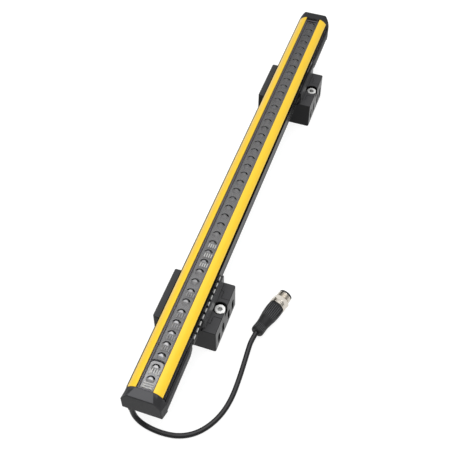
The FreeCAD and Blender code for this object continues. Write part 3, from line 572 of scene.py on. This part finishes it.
def lens_finish(colour):
    """Lens strip painted paler towards the cable end, and with a painted shade arc and highlight on each
    dome.

    The paleness is a painted reflection. The arc runs round the dome's far half, and the painted highlights
    fade out along the bar.
    """
    material, tree, inputs = new_finish("Lens Strip", {"Specular IOR Level": 0.3})
    place = place_parts(tree)
    pitches = calculate(tree, "DIVIDE", calculate(tree, "SUBTRACT", place["Y"], first_lens()), LENS_PITCH)
    centred = calculate(tree, "SUBTRACT", calculate(tree, "FRACT", calculate(tree, "ADD", pitches, 0.5)), 0.5)
    along = product(tree, centred, LENS_PITCH)
    squares = calculate(tree, "ADD", product(tree, along, along), product(tree, place["X"], place["X"]))
    reach = calculate(tree, "SQRT", squares)
    farness = calculate(tree, "DIVIDE", along, reach)
    # painted shade: a dark arc round the far half of each dome
    arc = product(tree, band(tree, reach, ARC_INNER, ARC_OUTER), rising(tree, farness, *ARC_START))
    # painted highlight: a bright glint on each dome, fading out along the bar
    patch = product(tree, rising(tree, along, *PATCH_FRONT), falling(tree, reach, *PATCH_EDGE),
                    falling(tree, place["Y"], *PATCH_FADE))
    low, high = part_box("lens_strip")
    # painted reflection: the strip is darker at its far end and paler at the cable end
    far_painted_shade, near_painted_light = toned(colour, share=0.65), toned(colour, share=1.65)
    pattern = put_group(tree, moulded_grain, {
        "Grain Scale": 200.0, "Speckle": 0.06, "Roughness": 0.4, "Roughness Spread": 0.1})
    tree.links.new(mix_colours(tree, falling(tree, place["Y"], low.y, high.y), far_painted_shade, near_painted_light),
                   pattern.inputs["Color"])
    lit = mix_colours(tree, patch, pattern.outputs["Color"], PAINTED_GLINT_WHITE)
    arc_roughness = product(tree, arc, 0.9)
    paint(tree, inputs, mix_colours(tree, arc, lit, PAINTED_ARC_SHADE),
          calculate(tree, "MAXIMUM", pattern.outputs["Roughness"], arc_roughness))
    return material


def screw_head_finish(colour):
    """Zinc plated screw, with painted shade inside its socket."""
    material, tree, inputs = new_finish("Screw Heads", {"Metallic": 1.0})
    pattern = put_group(tree, moulded_grain, {
        "Color": (*colour, 1.0), "Grain Scale": 900.0, "Speckle": 0.15,
        "Roughness": 0.3, "Roughness Spread": 0.2})
    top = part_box("clamp_screws")[1].z
    # painted shade inside the socket
    socket_shade = toned(colour, share=0.4)
    shaded = shade_below(tree, pattern.outputs["Color"], socket_shade, top, SOCKET_EDGES)
    paint(tree, inputs, shaded, pattern.outputs["Roughness"])
    return material


def spring_finish(colour):
    """Polished spring steel, bright on the teeth that stand out of the cradle, with painted shade below its
    lip.
    """
    material, tree, inputs = new_finish("Spring Steel", {"Metallic": 0.4})
    pattern = put_group(tree, drawn_lines, {
        "Color": (*colour, 1.0), "Line Depth": 0.25, "Roughness": 0.35, "Roughness Spread": 0.3})
    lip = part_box("near_cradle")[1].z
    # painted shade on the spring below the cradle's lip
    slot_shade = toned(colour, share=0.04)
    shaded = shade_below(tree, pattern.outputs["Color"], slot_shade, lip, SPRING_EDGES)
    paint(tree, inputs, shaded, pattern.outputs["Roughness"])
    return material


def trim_finish(charcoal):
    """Dull black trim whose outer side matches the end pieces where it runs over them."""
    material, tree, inputs = new_finish("Black Trim", {"Specular IOR Level": 0.0})
    place = place_parts(tree)
    sleeve_end = abs(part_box("near_end_sleeve")[1].y)
    before_sleeve = sleeve_end - 0.001
    over_end = rising(tree, calculate(tree, "ABSOLUTE", place["Y"]), before_sleeve, sleeve_end)
    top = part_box("edge_trim_right")[1].z
    outer_side = falling(tree, place["Z"], *(top + edge for edge in TRIM_EDGES))
    pattern = put_group(tree, moulded_grain, {
        "Color": (*TRIM_BLACK, 1.0), "Speckle": 0.25, "Roughness": 0.8, "Roughness Spread": 0.1})
    over_sleeve = product(tree, over_end, outer_side)
    paint(tree, inputs, mix_colours(tree, over_sleeve, pattern.outputs["Color"], charcoal),
          pattern.outputs["Roughness"])
    return material


def grip_finish(colour):
    """Plug grip with fine ribs along its two thick ends."""
    material, tree, inputs = new_finish("Plug Grip", {"Specular IOR Level": 0.12})
    plug = plug_place()
    from_nut = add(tree, "ShaderNodeVectorMath", operation="SUBTRACT")
    tree.links.new(object_place(tree), from_nut.inputs[0])
    from_nut.inputs[1].default_value = plug.translation
    parts = []
    for direction in plug.to_3x3().col:
        dot = add(tree, "ShaderNodeVectorMath", operation="DOT_PRODUCT")
        tree.links.new(from_nut.outputs["Vector"], dot.inputs[0])
        dot.inputs[1].default_value = direction
        parts.append(dot.outputs["Value"])
    distance, across, above = parts
    angle = calculate(tree, "ARCTAN2", above, across)
    wave = calculate(tree, "SINE", product(tree, angle, GRIP_RIBS))
    zone = calculate(tree, "MAXIMUM", band(tree, distance, *GRIP_FRONT_ZONE),
                     band(tree, distance, *GRIP_REAR_ZONE))
    pattern = put_group(tree, moulded_grain, {
        "Color": (*colour, 1.0), "Grain Scale": 1800.0, "Speckle": 0.3,
        "Roughness": 0.4, "Roughness Spread": 0.2})
    crest = rising(tree, wave, *GRIP_WORN)
    worn_crest = toned(colour, share=3.2)
    ribbed = mix_colours(tree, product(tree, zone, crest), pattern.outputs["Color"], worn_crest)
    paint(tree, inputs, ribbed, pattern.outputs["Roughness"])
    bump = add(tree, "ShaderNodeBump", {"Strength": 1.0, "Distance": GRIP_RIB_DEPTH})
    tree.links.new(product(tree, wave, zone), bump.inputs["Height"])
    tree.links.new(bump.outputs["Normal"], inputs["Normal"])
    return material


def circuit_board_finish():
    """Green solder mask with paler tracks."""
    material, tree, inputs = new_finish("Circuit Board", {"Coat Weight": 0.5, "Coat Roughness": 0.2})
    tracks = add(tree, "ShaderNodeTexBrick", {
        "Color1": (0.02, 0.16, 0.06, 1.0), "Color2": (0.03, 0.20, 0.08, 1.0),
        "Mortar": (0.05, 0.30, 0.12, 1.0), "Scale": 260.0, "Mortar Size": 0.03})
    tree.links.new(object_place(tree), tracks.inputs["Vector"])
    pattern = put_group(tree, moulded_grain, {"Roughness": 0.3, "Roughness Spread": 0.2})
    paint(tree, inputs, tracks.outputs["Color"], pattern.outputs["Roughness"])
    return material


def dress(material, *nodes):
    """Give nodes of the model their finish."""
    for name in nodes:
        for slot in frame["nodes"][name].material_slots:
            slot.material = material


def new_piece(name, points, faces, material, body, slot_name):
    """Mesh piece that rides on a body and takes the given finish. Its slot name is not used."""
    mesh = bpy.data.meshes.new(name)
    mesh.from_pydata(points, [], faces)
    mesh.update()
    mesh.materials.append(material)
    piece = bpy.data.objects.new(name, mesh)
    bpy.context.scene.collection.objects.link(piece)
    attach(piece, body)
    return piece


def block_mesh(blocks):
    """Points and faces of closed blocks, each given by its lowest and highest corner."""
    points, faces = [], []
    for low, high in blocks:
        start = len(points)
        points += [Vector((x, y, z)) for z in (low.z, high.z) for y in (low.y, high.y)
                   for x in (low.x, high.x)]
        faces += [tuple(start + index for index in face) for face in
                  ((0, 2, 3, 1), (4, 5, 7, 6), (0, 1, 5, 4), (1, 3, 7, 5), (3, 2, 6, 7), (2, 0, 4, 6))]
    return points, faces


def plug_place():
    """Matrix from distances along the plug to the model, measured from the nut's rear end."""
    hinge = next(joint for joint in frame["joints"] if joint["child"] == BODY_NUT)
    along = Vector(hinge["axis"]).normalized()
    side = Vector((0, 0, 1)).cross(along).normalized()
    up = along.cross(side)
    turn = Matrix((along, side, up)).transposed().to_4x4()
    return Matrix.Translation(Vector(hinge["pos_m"])) @ turn


def collar_radius(distance, angle, knurl_count):
    """Outer radius of the nut's knurled collar, with a groove round its middle and chamfered ends."""
    third = COLLAR_END / 3
    valley = clamp(1 - abs(distance - 1.5 * third) / (GROOVE_SHARE * third))
    chamfer = max(COLLAR_GROOVE - min(distance, COLLAR_END - distance), 0)
    knurl = KNURL_DEPTH * (0.5 + 0.5 * math.cos(knurl_count * angle))
    return COLLAR_RADIUS - max(COLLAR_GROOVE * valley, chamfer) - knurl * (1 - valley)


def hexagon_radius(distance, angle):
    """Outer radius of the nut's hexagon, whose corners are chamfered at both ends."""
    from_flat = (angle + math.pi / 6) % (math.pi / 3) - math.pi / 6
    corner_radius = HEX_HALF_FLAT / math.cos(math.pi / 6 - abs(from_flat))
    end = min(distance - COLLAR_END, HEX_END - distance)
    return min(corner_radius, HEX_HALF_FLAT + HEX_CHAMFER + end)


def thread_radius(distance, angle, sizes):
    """Outer radius of the nut's thread, which runs in after the hexagon and tapers at the tip."""
    turns = (distance - HEX_END) / sizes.thread_pitch + angle / (2 * math.pi)
    slope = abs(2 * (turns % 1.0) - 1)
    cut = clamp(THREAD_SLOPE * slope - THREAD_CREST)
    run_in = clamp((distance - HEX_END) / THREAD_RUN_IN)
    run_out = clamp((NUT_LENGTH - distance) / THREAD_RUN_OUT, low=THREAD_TIP_SHARE)
    return THREAD_RADIUS - sizes.thread_depth * cut * run_in - THREAD_TAPER * (1 - run_out)


def nut_radius(distance, angle, sizes):
    """Outer radius of the coupling nut at a place along its axis and an angle round it."""
    if distance <= COLLAR_END:
        return collar_radius(distance, angle, sizes.knurl_count)
    if distance <= HEX_END:
        return hexagon_radius(distance, angle)
    return thread_radius(distance, angle, sizes)


class LIGHTCURTAIN_OT_dress_profile(bpy.types.Operator):
    """Finish the profile, the yellow strips and the black trims"""
    bl_idname = "light_curtain.dress_profile"
    bl_label = "Profile and Strips"

    def execute(self, context):
        looks = context.scene.light_curtain_bar
        dress(anodised_finish(looks.aluminium), "housing_profile")
        yellow = moulded_plastic("Yellow Strip", looks.yellow, roughness=0.34, speckle=0.06,
                                 grain_scale=1400.0, relief=0.000012,
                                 sockets={"Coat Weight": 0.15, "Coat Roughness": 0.2})
        dress(yellow, "yellow_strip_right", "yellow_strip_left")
        dress(trim_finish(looks.charcoal), "edge_trim_right", "edge_trim_left")
        return {"FINISHED"}


class LIGHTCURTAIN_OT_dress_window(bpy.types.Operator):
    """Finish the window and what shows through it"""
    bl_idname = "light_curtain.dress_window"
    bl_label = "Window and Lenses"

    def execute(self, context):
        looks = context.scene.light_curtain_bar
        self.lay_window(smoky_window_finish(looks.window_tint, looks.window_cover))
        self.print_marks()
        self.frame_indicator()
        dress(lens_finish(looks.lens_colour), "lens_strip")
        dress(moulded_plastic("Indicator Plate", colour=(0.56, 0.56, 0.58), roughness=0.35, speckle=0.1),
              "indicator_plate")
        dress(moulded_plastic("Light Guide", colour=(0.62, 0.62, 0.60), roughness=0.2, speckle=0.05),
              "light_guides")
        dress(moulded_plastic("Window Seal", colour=(0.20, 0.19, 0.21), roughness=0.7, speckle=0.05),
              "window_seal")
        return {"FINISHED"}

    def lay_window(self, finish):
        """Lay the pane with rounded edges, clear of its neighbours."""
        low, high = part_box("front_window")
        low = low + Vector((PANE_GAP, PANE_GAP, 2 * PANE_GAP))
        high = high - Vector((PANE_GAP, PANE_GAP, 0.0))
        pane = new_piece("window_pane", *block_mesh([(low, high)]), finish, BODY_BAR, "smoky_window")
        bevel = pane.modifiers.new("Polished edge", "BEVEL")
        bevel.width = PANE_EDGE
        bevel.segments = 3
        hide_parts("front_window")

    def print_marks(self):
        """Print rows of bars before some lenses, and short lines across the cable end."""
        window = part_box("front_window")[0]
        top = window.z - PRINT_GAP
        bottom = top - PRINT_THICKNESS
        bright, faint = [], []
        for numbers, bars in ((MARK_GAPS_BRIGHT, bright), (MARK_GAPS_FAINT, faint)):
            for number in numbers:
                middle = first_lens() + number * LENS_PITCH - MARK_AHEAD
                for index in range(MARK_BARS):
                    x = MARK_SHIFT + (index - (MARK_BARS - 1) / 2) * MARK_PITCH
                    bars.append((Vector((x - MARK_WIDTH / 2, middle - MARK_LENGTH / 2, bottom)),
                                 Vector((x + MARK_WIDTH / 2, middle + MARK_LENGTH / 2, top))))
        left, right = END_LINE_SIDES
        for index in range(END_LINES):
            y = window.y + END_LINE_START + index * END_LINE_PITCH
            bright.append((Vector((left, y, bottom)), Vector((right, y + END_LINE_WIDTH, top))))
        silver = moulded_plastic("Silver Mark", colour=(0.80, 0.80, 0.79), roughness=0.35, speckle=0.4,
                                 grain_scale=900.0)
        dull = moulded_plastic("Dull Mark", colour=(0.42, 0.42, 0.425), roughness=0.4, speckle=0.4,
                               grain_scale=900.0)
        new_piece("window_marks_bright", *block_mesh(bright), silver, BODY_BAR, "clear_lens")
        new_piece("window_marks_faint", *block_mesh(faint), dull, BODY_BAR, "clear_lens")

    def frame_indicator(self):
        """Lay a thin dark frame with round corners round the indicator plate's inner end."""
        low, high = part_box("indicator_plate")
        rings = []
        for edge in FRAME_EDGES:
            radius = FRAME_CORNER + edge
            ring = [(low.x - edge, high.y - FRAME_LEG)]
            for centre_x, start in ((low.x + FRAME_CORNER, math.pi), (high.x - FRAME_CORNER, math.pi / 2)):
                for step in range(FRAME_STEPS + 1):
                    angle = start - step * math.pi / (2 * FRAME_STEPS)
                    ring.append((centre_x + radius * math.cos(angle),
                                 high.y - FRAME_CORNER + radius * math.sin(angle)))
            ring.append((high.x + edge, high.y - FRAME_LEG))
            rings.append(ring)
        count = len(rings[0])
        levels = (low.z + FRAME_LEVELS[0], high.z + FRAME_LEVELS[1])
        points = [Vector((x, y, z)) for z in levels for ring in rings for x, y in ring]
        faces = []
        for index in range(count - 1):
            low_in, low_out, top_in, top_out = (layer * 2 * count + ring * count + index
                                                for layer in (0, 1) for ring in (0, 1))
            faces += [(top_in, top_in + 1, top_out + 1, top_out), (low_in, low_out, low_out + 1, low_in + 1),
                      (low_in, low_in + 1, top_in + 1, top_in), (low_out, top_out, top_out + 1, low_out + 1)]
        last = count - 1
        faces += [(0, 2 * count, 3 * count, count), (last, count + last, 3 * count + last, 2 * count + last)]
        dark = moulded_plastic("Indicator Frame", colour=(0.012, 0.012, 0.013), roughness=0.6)
        new_piece("indicator_frame", points, faces, dark, BODY_BAR, "dark_plastic")


class LIGHTCURTAIN_OT_dress_inside(bpy.types.Operator):
    """Finish the circuit boards and what they carry"""
    bl_idname = "light_curtain.dress_inside"
    bl_label = "Boards and Diodes"

    def execute(self, context):
        dress(moulded_plastic("Dark Carrier", colour=(0.02, 0.02, 0.021), roughness=0.6),
              "aperture_strip", "optics_carrier")
        dress(circuit_board_finish(), "sensor_board", "power_board")
        dress(moulded_plastic("Diode Plastic", colour=(0.05, 0.035, 0.06), roughness=0.12, speckle=0.05),
              "beam_diodes")
        dress(moulded_plastic("Chip Plastic", colour=(0.03, 0.03, 0.03), roughness=0.55),
              "drive_chips", "capacitors")
        return {"FINISHED"}


class LIGHTCURTAIN_OT_dress_ends(bpy.types.Operator):
    """Finish the end caps, sleeves, gaskets and the cable outlet"""
    bl_idname = "light_curtain.dress_ends"
    bl_label = "End Caps"

    def execute(self, context):
        charcoal = context.scene.light_curtain_bar.charcoal
        # The near pieces' pale tops are painted top light; the far pieces keep the same colour on top
        for end, dust_and_light_share in (("near", 2.8), ("far", 1.0)):
            case = moulded_plastic(f"Charcoal Plastic {end}", charcoal, roughness=0.45, speckle=0.3,
                                   grain_scale=1500.0, relief=0.00002, edge_radius=0.0014,
                                   edge_colour=toned(charcoal, share=1.8), dust_and_top_light=toned(charcoal, dust_and_light_share),
                                   sockets={"Specular IOR Level": 0.06})
            dress(case, f"{end}_end_cap", f"{end}_end_sleeve")
        rubber = moulded_plastic("Soft Rubber", colour=(0.012, 0.012, 0.012), roughness=0.7)
        dress(rubber, "near_end_gasket", "far_end_gasket", "cable_outlet")
        return {"FINISHED"}


class LIGHTCURTAIN_OT_dress_brackets(bpy.types.Operator):
    """Finish the swivel brackets, their springs and nuts, and all screws"""
    bl_idname = "light_curtain.dress_brackets"
    bl_label = "Brackets"

    def execute(self, context):
        looks = context.scene.light_curtain_brackets
        worn_edge = {"edge_radius": 0.0004, "edge_colour": toned(looks.black, share=2.4)}
        # dark seams at the jaws' edges, and painted shade below their top
        dark_seam_and_painted_shade = {"edge_radius": 0.0011, "edge_colour": toned(looks.black, share=0.1),
                     "sunk": (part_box("clamp_jaws")[1].z, JAW_EDGES)}
        # The cradle and jaws take a lighter copy of the bracket black as painted light; every piece's paler
        # top is a dusting and painted top light
        for name, share, details, nodes in (
                ("Bracket Black", 1.0, worn_edge, ("near_bracket_base", "far_bracket_base", "far_cradle")),
                ("Cradle Black", 2.8, worn_edge, ("near_cradle",)),
                ("Jaw Black", 2.8, dark_seam_and_painted_shade, ("clamp_jaws",))):
            black = moulded_plastic(name, toned(looks.black, share), roughness=0.3, speckle=0.3,
                                    grain_scale=1800.0, relief=0.00002, dust_and_top_light=toned(looks.black, share=2.9),
                                    sockets={"Specular IOR Level": 0.07, "Sheen Weight": 0.12,
                                             "Sheen Roughness": 0.3}, **details)
            dress(black, *nodes)
        dress(spring_finish(looks.spring), "toothed_spring_right", "toothed_spring_left")
        dress(screw_head_finish(looks.zinc), "clamp_screws")
        dress(plated_metal("Zinc Plate", looks.zinc, roughness=0.26), "clamp_nuts", "end_screws")
        return {"FINISHED"}


class LIGHTCURTAIN_OT_lay_cable(bpy.types.Operator):
    """Lay the free cable from the outlet to the plug"""
    bl_idname = "light_curtain.lay_cable"
    bl_label = "Cable"

    def execute(self, context):
        looks = context.scene.light_curtain_cable
        curve = bpy.data.curves.new("plug_cable", "CURVE")
        curve.dimensions = "3D"
        curve.resolution_u = 12
        curve.bevel_depth = looks.diameter / 2
        curve.bevel_resolution = 6
        curve.use_fill_caps = True
        spline = curve.splines.new("NURBS")
        spline.points.add(len(CABLE_ROUTE) - 1)
        for point, place in zip(spline.points, CABLE_ROUTE):
            point.co = (*place, 1.0)
        spline.order_u = 3
        spline.use_endpoint_u = True
        # the cable's pale top is a painted highlight as well as a dusting
        curve.materials.append(moulded_plastic("Cable Jacket", CABLE_BLACK, roughness=0.32, speckle=0.2,
                                               grain_scale=1200.0, relief=0.00001, edge_radius=0.0,
                                               dust_and_top_light=CABLE_DUST_AND_TOP_LIGHT, sockets={"Specular IOR Level": 0.1}))
        cable = bpy.data.objects.new("plug_cable", curve)
        context.scene.collection.objects.link(cable)
        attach(cable, BODY_BAR)
        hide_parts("cable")
        return {"FINISHED"}


class LIGHTCURTAIN_OT_build_plug(bpy.types.Operator):
    """Cut the plug's nut with its knurled collar, hexagon and thread, and finish the plug"""
    bl_idname = "light_curtain.build_plug"
    bl_label = "Plug"

    def execute(self, context):
        sizes = context.scene.light_curtain_cable
        points, faces = self.nut_mesh(sizes)
        nickel = plated_metal("Nickel Plate", sizes.nickel, roughness=0.2)
        nut = new_piece("plug_nut", points, faces, nickel, BODY_NUT, "nickel_metal")
        nut.data.shade_smooth()
        nut.data.set_sharp_from_angle(angle=NUT_SHARP_ANGLE)
        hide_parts("coupling_nut")
        dress(grip_finish(colour=(0.024, 0.024, 0.025)), "connector_grip")
        dress(moulded_plastic("Plug Insert", colour=(0.010, 0.010, 0.010), roughness=0.5),
              "contact_insert", "tip_ring")
        dress(plated_metal("Gold Contact", colour=(0.83, 0.62, 0.24), roughness=0.22), "contact_pins")
        return {"FINISHED"}

    def nut_mesh(self, sizes):
        """Points and faces of the hollow nut, as rings of points from its rear end to its tip."""
        stations = [index * NUT_STEP for index in range(round(NUT_LENGTH / NUT_STEP) + 1)]
        stations += [COLLAR_END + NUT_STEP_GAP, HEX_END + NUT_STEP_GAP]
        angles = [2 * math.pi * turn / NUT_ROUNDS for turn in range(NUT_ROUNDS)]
        rings = [[(0.0, NUT_BORE)] * NUT_ROUNDS]
        rings += [[(distance, nut_radius(distance, angle, sizes)) for angle in angles]
                  for distance in sorted(stations)]
        rings.append([(NUT_LENGTH, NUT_BORE)] * NUT_ROUNDS)
        place = plug_place()
        points = [place @ Vector((distance, radius * math.cos(angle), radius * math.sin(angle)))
                  for ring in rings for angle, (distance, radius) in zip(angles, ring)]
        faces = []
        for row in range(len(rings)):
            following = (row + 1) % len(rings)
            for turn in range(NUT_ROUNDS):
                beside = (turn + 1) % NUT_ROUNDS
                faces.append((row * NUT_ROUNDS + turn, row * NUT_ROUNDS + beside,
                              following * NUT_ROUNDS + beside, following * NUT_ROUNDS + turn))
        return points, faces


class LIGHTCURTAIN_OT_set_studio(bpy.types.Operator):
    """Set the floor, the soft light and the camera"""
    bl_idname = "light_curtain.set_studio"
    bl_label = "Studio"

    def execute(self, context):
        setup = context.scene.light_curtain_studio
        self.lay_floor(context, setup)
        self.light_room(context, setup)
        self.place_camera(context, setup)
        return {"FINISHED"}

    def lay_floor(self, context, setup):
        """Lay a plain floor that keeps the part's shadow and shows pale to the camera and in gloss."""
        corners = [(x * FLOOR_REACH, y * FLOOR_REACH, 0) for x, y in ((-1, -1), (1, -1), (1, 1), (-1, 1))]
        mesh = bpy.data.meshes.new("studio_floor")
        mesh.from_pydata(corners, [], [(0, 1, 2, 3)])
        material, tree, inputs = new_finish("Studio Floor", {
            "Roughness": 0.9, "Specular IOR Level": 0.0, "Base Color": (*setup.floor_colour, 1.0),
            "Emission Color": (1.0, 1.0, 1.0, 1.0)})
        rays = add(tree, "ShaderNodeLightPath").outputs
        mirrored = calculate(tree, "MAXIMUM", rays["Is Glossy Ray"], rays["Is Transmission Ray"])
        seen = calculate(tree, "MAXIMUM", rays["Is Camera Ray"], mirrored)
        tree.links.new(product(tree, seen, FLOOR_GLOW), inputs["Emission Strength"])
        mesh.materials.append(material)
        floor = bpy.data.objects.new("studio_floor", mesh)
        floor.location.z = -FLOOR_DROP
        context.scene.collection.objects.link(floor)

    def light_room(self, context, setup):
        """Light the part from the room, and with one soft lamp over its cable end."""
        world = bpy.data.worlds.new("Studio Room")
        world.use_nodes = True
        tree = world.node_tree
        parts = add(tree, "ShaderNodeSeparateXYZ")
        tree.links.new(add(tree, "ShaderNodeTexCoord").outputs["Generated"], parts.inputs["Vector"])
        ramp = add(tree, "ShaderNodeValToRGB")
        stops = ramp.color_ramp.elements
        while len(stops) < len(ROOM_LEVELS):
            stops.new(0.5)
        for stop, (height, level) in zip(stops, ROOM_LEVELS):
            stop.position = height
            stop.color = (level, level, level, 1.0)
        background = tree.nodes["Background"]
        tree.links.new(parts.outputs["Z"], ramp.inputs["Fac"])
        tree.links.new(ramp.outputs["Color"], background.inputs["Color"])
        background.inputs["Strength"].default_value = setup.sky_strength
        context.scene.world = world
        lamp = bpy.data.lights.new("key_softbox", "AREA")
        lamp.shape = "RECTANGLE"
        lamp.size = LAMP_SIDE
        lamp.size_y = LAMP_SIDE
        lamp.energy = setup.key_power
        softbox = bpy.data.objects.new("key_softbox", lamp)
        softbox.location = LAMP_PLACE
        context.scene.collection.objects.link(softbox)

    def place_camera(self, context, setup):
        """Place the camera at the photograph's viewing angle."""
        data = bpy.data.cameras.new("photo_camera")
        data.lens = setup.camera_lens
        data.sensor_width = SENSOR_WIDTH
        camera = bpy.data.objects.new("photo_camera", data)
        camera.location = setup.camera_place
        camera.rotation_euler = setup.camera_turn
        context.scene.collection.objects.link(camera)
        context.scene.camera = camera
        context.scene.view_settings.view_transform = "Standard"


OPERATORS = [
    LIGHTCURTAIN_OT_dress_profile,
    LIGHTCURTAIN_OT_dress_window,
    LIGHTCURTAIN_OT_dress_inside,
    LIGHTCURTAIN_OT_dress_ends,
    LIGHTCURTAIN_OT_dress_brackets,
    LIGHTCURTAIN_OT_build_plug,
    LIGHTCURTAIN_OT_lay_cable,
    LIGHTCURTAIN_OT_set_studio,
]
GROUPS = {
    "light_curtain_bar": BarLooks,
    "light_curtain_brackets": BracketLooks,
    "light_curtain_cable": CableLooks,
    "light_curtain_studio": StudioSetup,
}


class LIGHTCURTAIN_PT_panel(bpy.types.Panel):
    """Lists the steps and the values they read"""
    bl_label = "Light Curtain"
    bl_space_type = "VIEW_3D"
    bl_region_type = "UI"
    bl_category = "Light Curtain"

    def draw(self, context):
        for name, group in GROUPS.items():
            box = self.layout.box()
            values = getattr(context.scene, name)
            for key in group.__annotations__:
                box.prop(values, key)
        for operator in OPERATORS:
            self.layout.operator(operator.bl_idname)


def register():
    for group in GROUPS.values():
        bpy.utils.register_class(group)
    for operator in OPERATORS:
        bpy.utils.register_class(operator)
    bpy.utils.register_class(LIGHTCURTAIN_PT_panel)
    for name, group in GROUPS.items():
        setattr(bpy.types.Scene, name, PointerProperty(type=group))


def unregister():
    for name in GROUPS:
        delattr(bpy.types.Scene, name)
    bpy.utils.unregister_class(LIGHTCURTAIN_PT_panel)
    for operator in reversed(OPERATORS):
        bpy.utils.unregister_class(operator)
    for group in GROUPS.values():
        bpy.utils.unregister_class(group)


def main():
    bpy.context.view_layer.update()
    register()
    bpy.ops.light_curtain.dress_profile()
    bpy.ops.light_curtain.dress_window()
    bpy.ops.light_curtain.dress_inside()
    bpy.ops.light_curtain.dress_ends()
    bpy.ops.light_curtain.dress_brackets()
    bpy.ops.light_curtain.build_plug()
    bpy.ops.light_curtain.lay_cable()
    bpy.ops.light_curtain.set_studio()


if __name__ == "__main__":
    main()
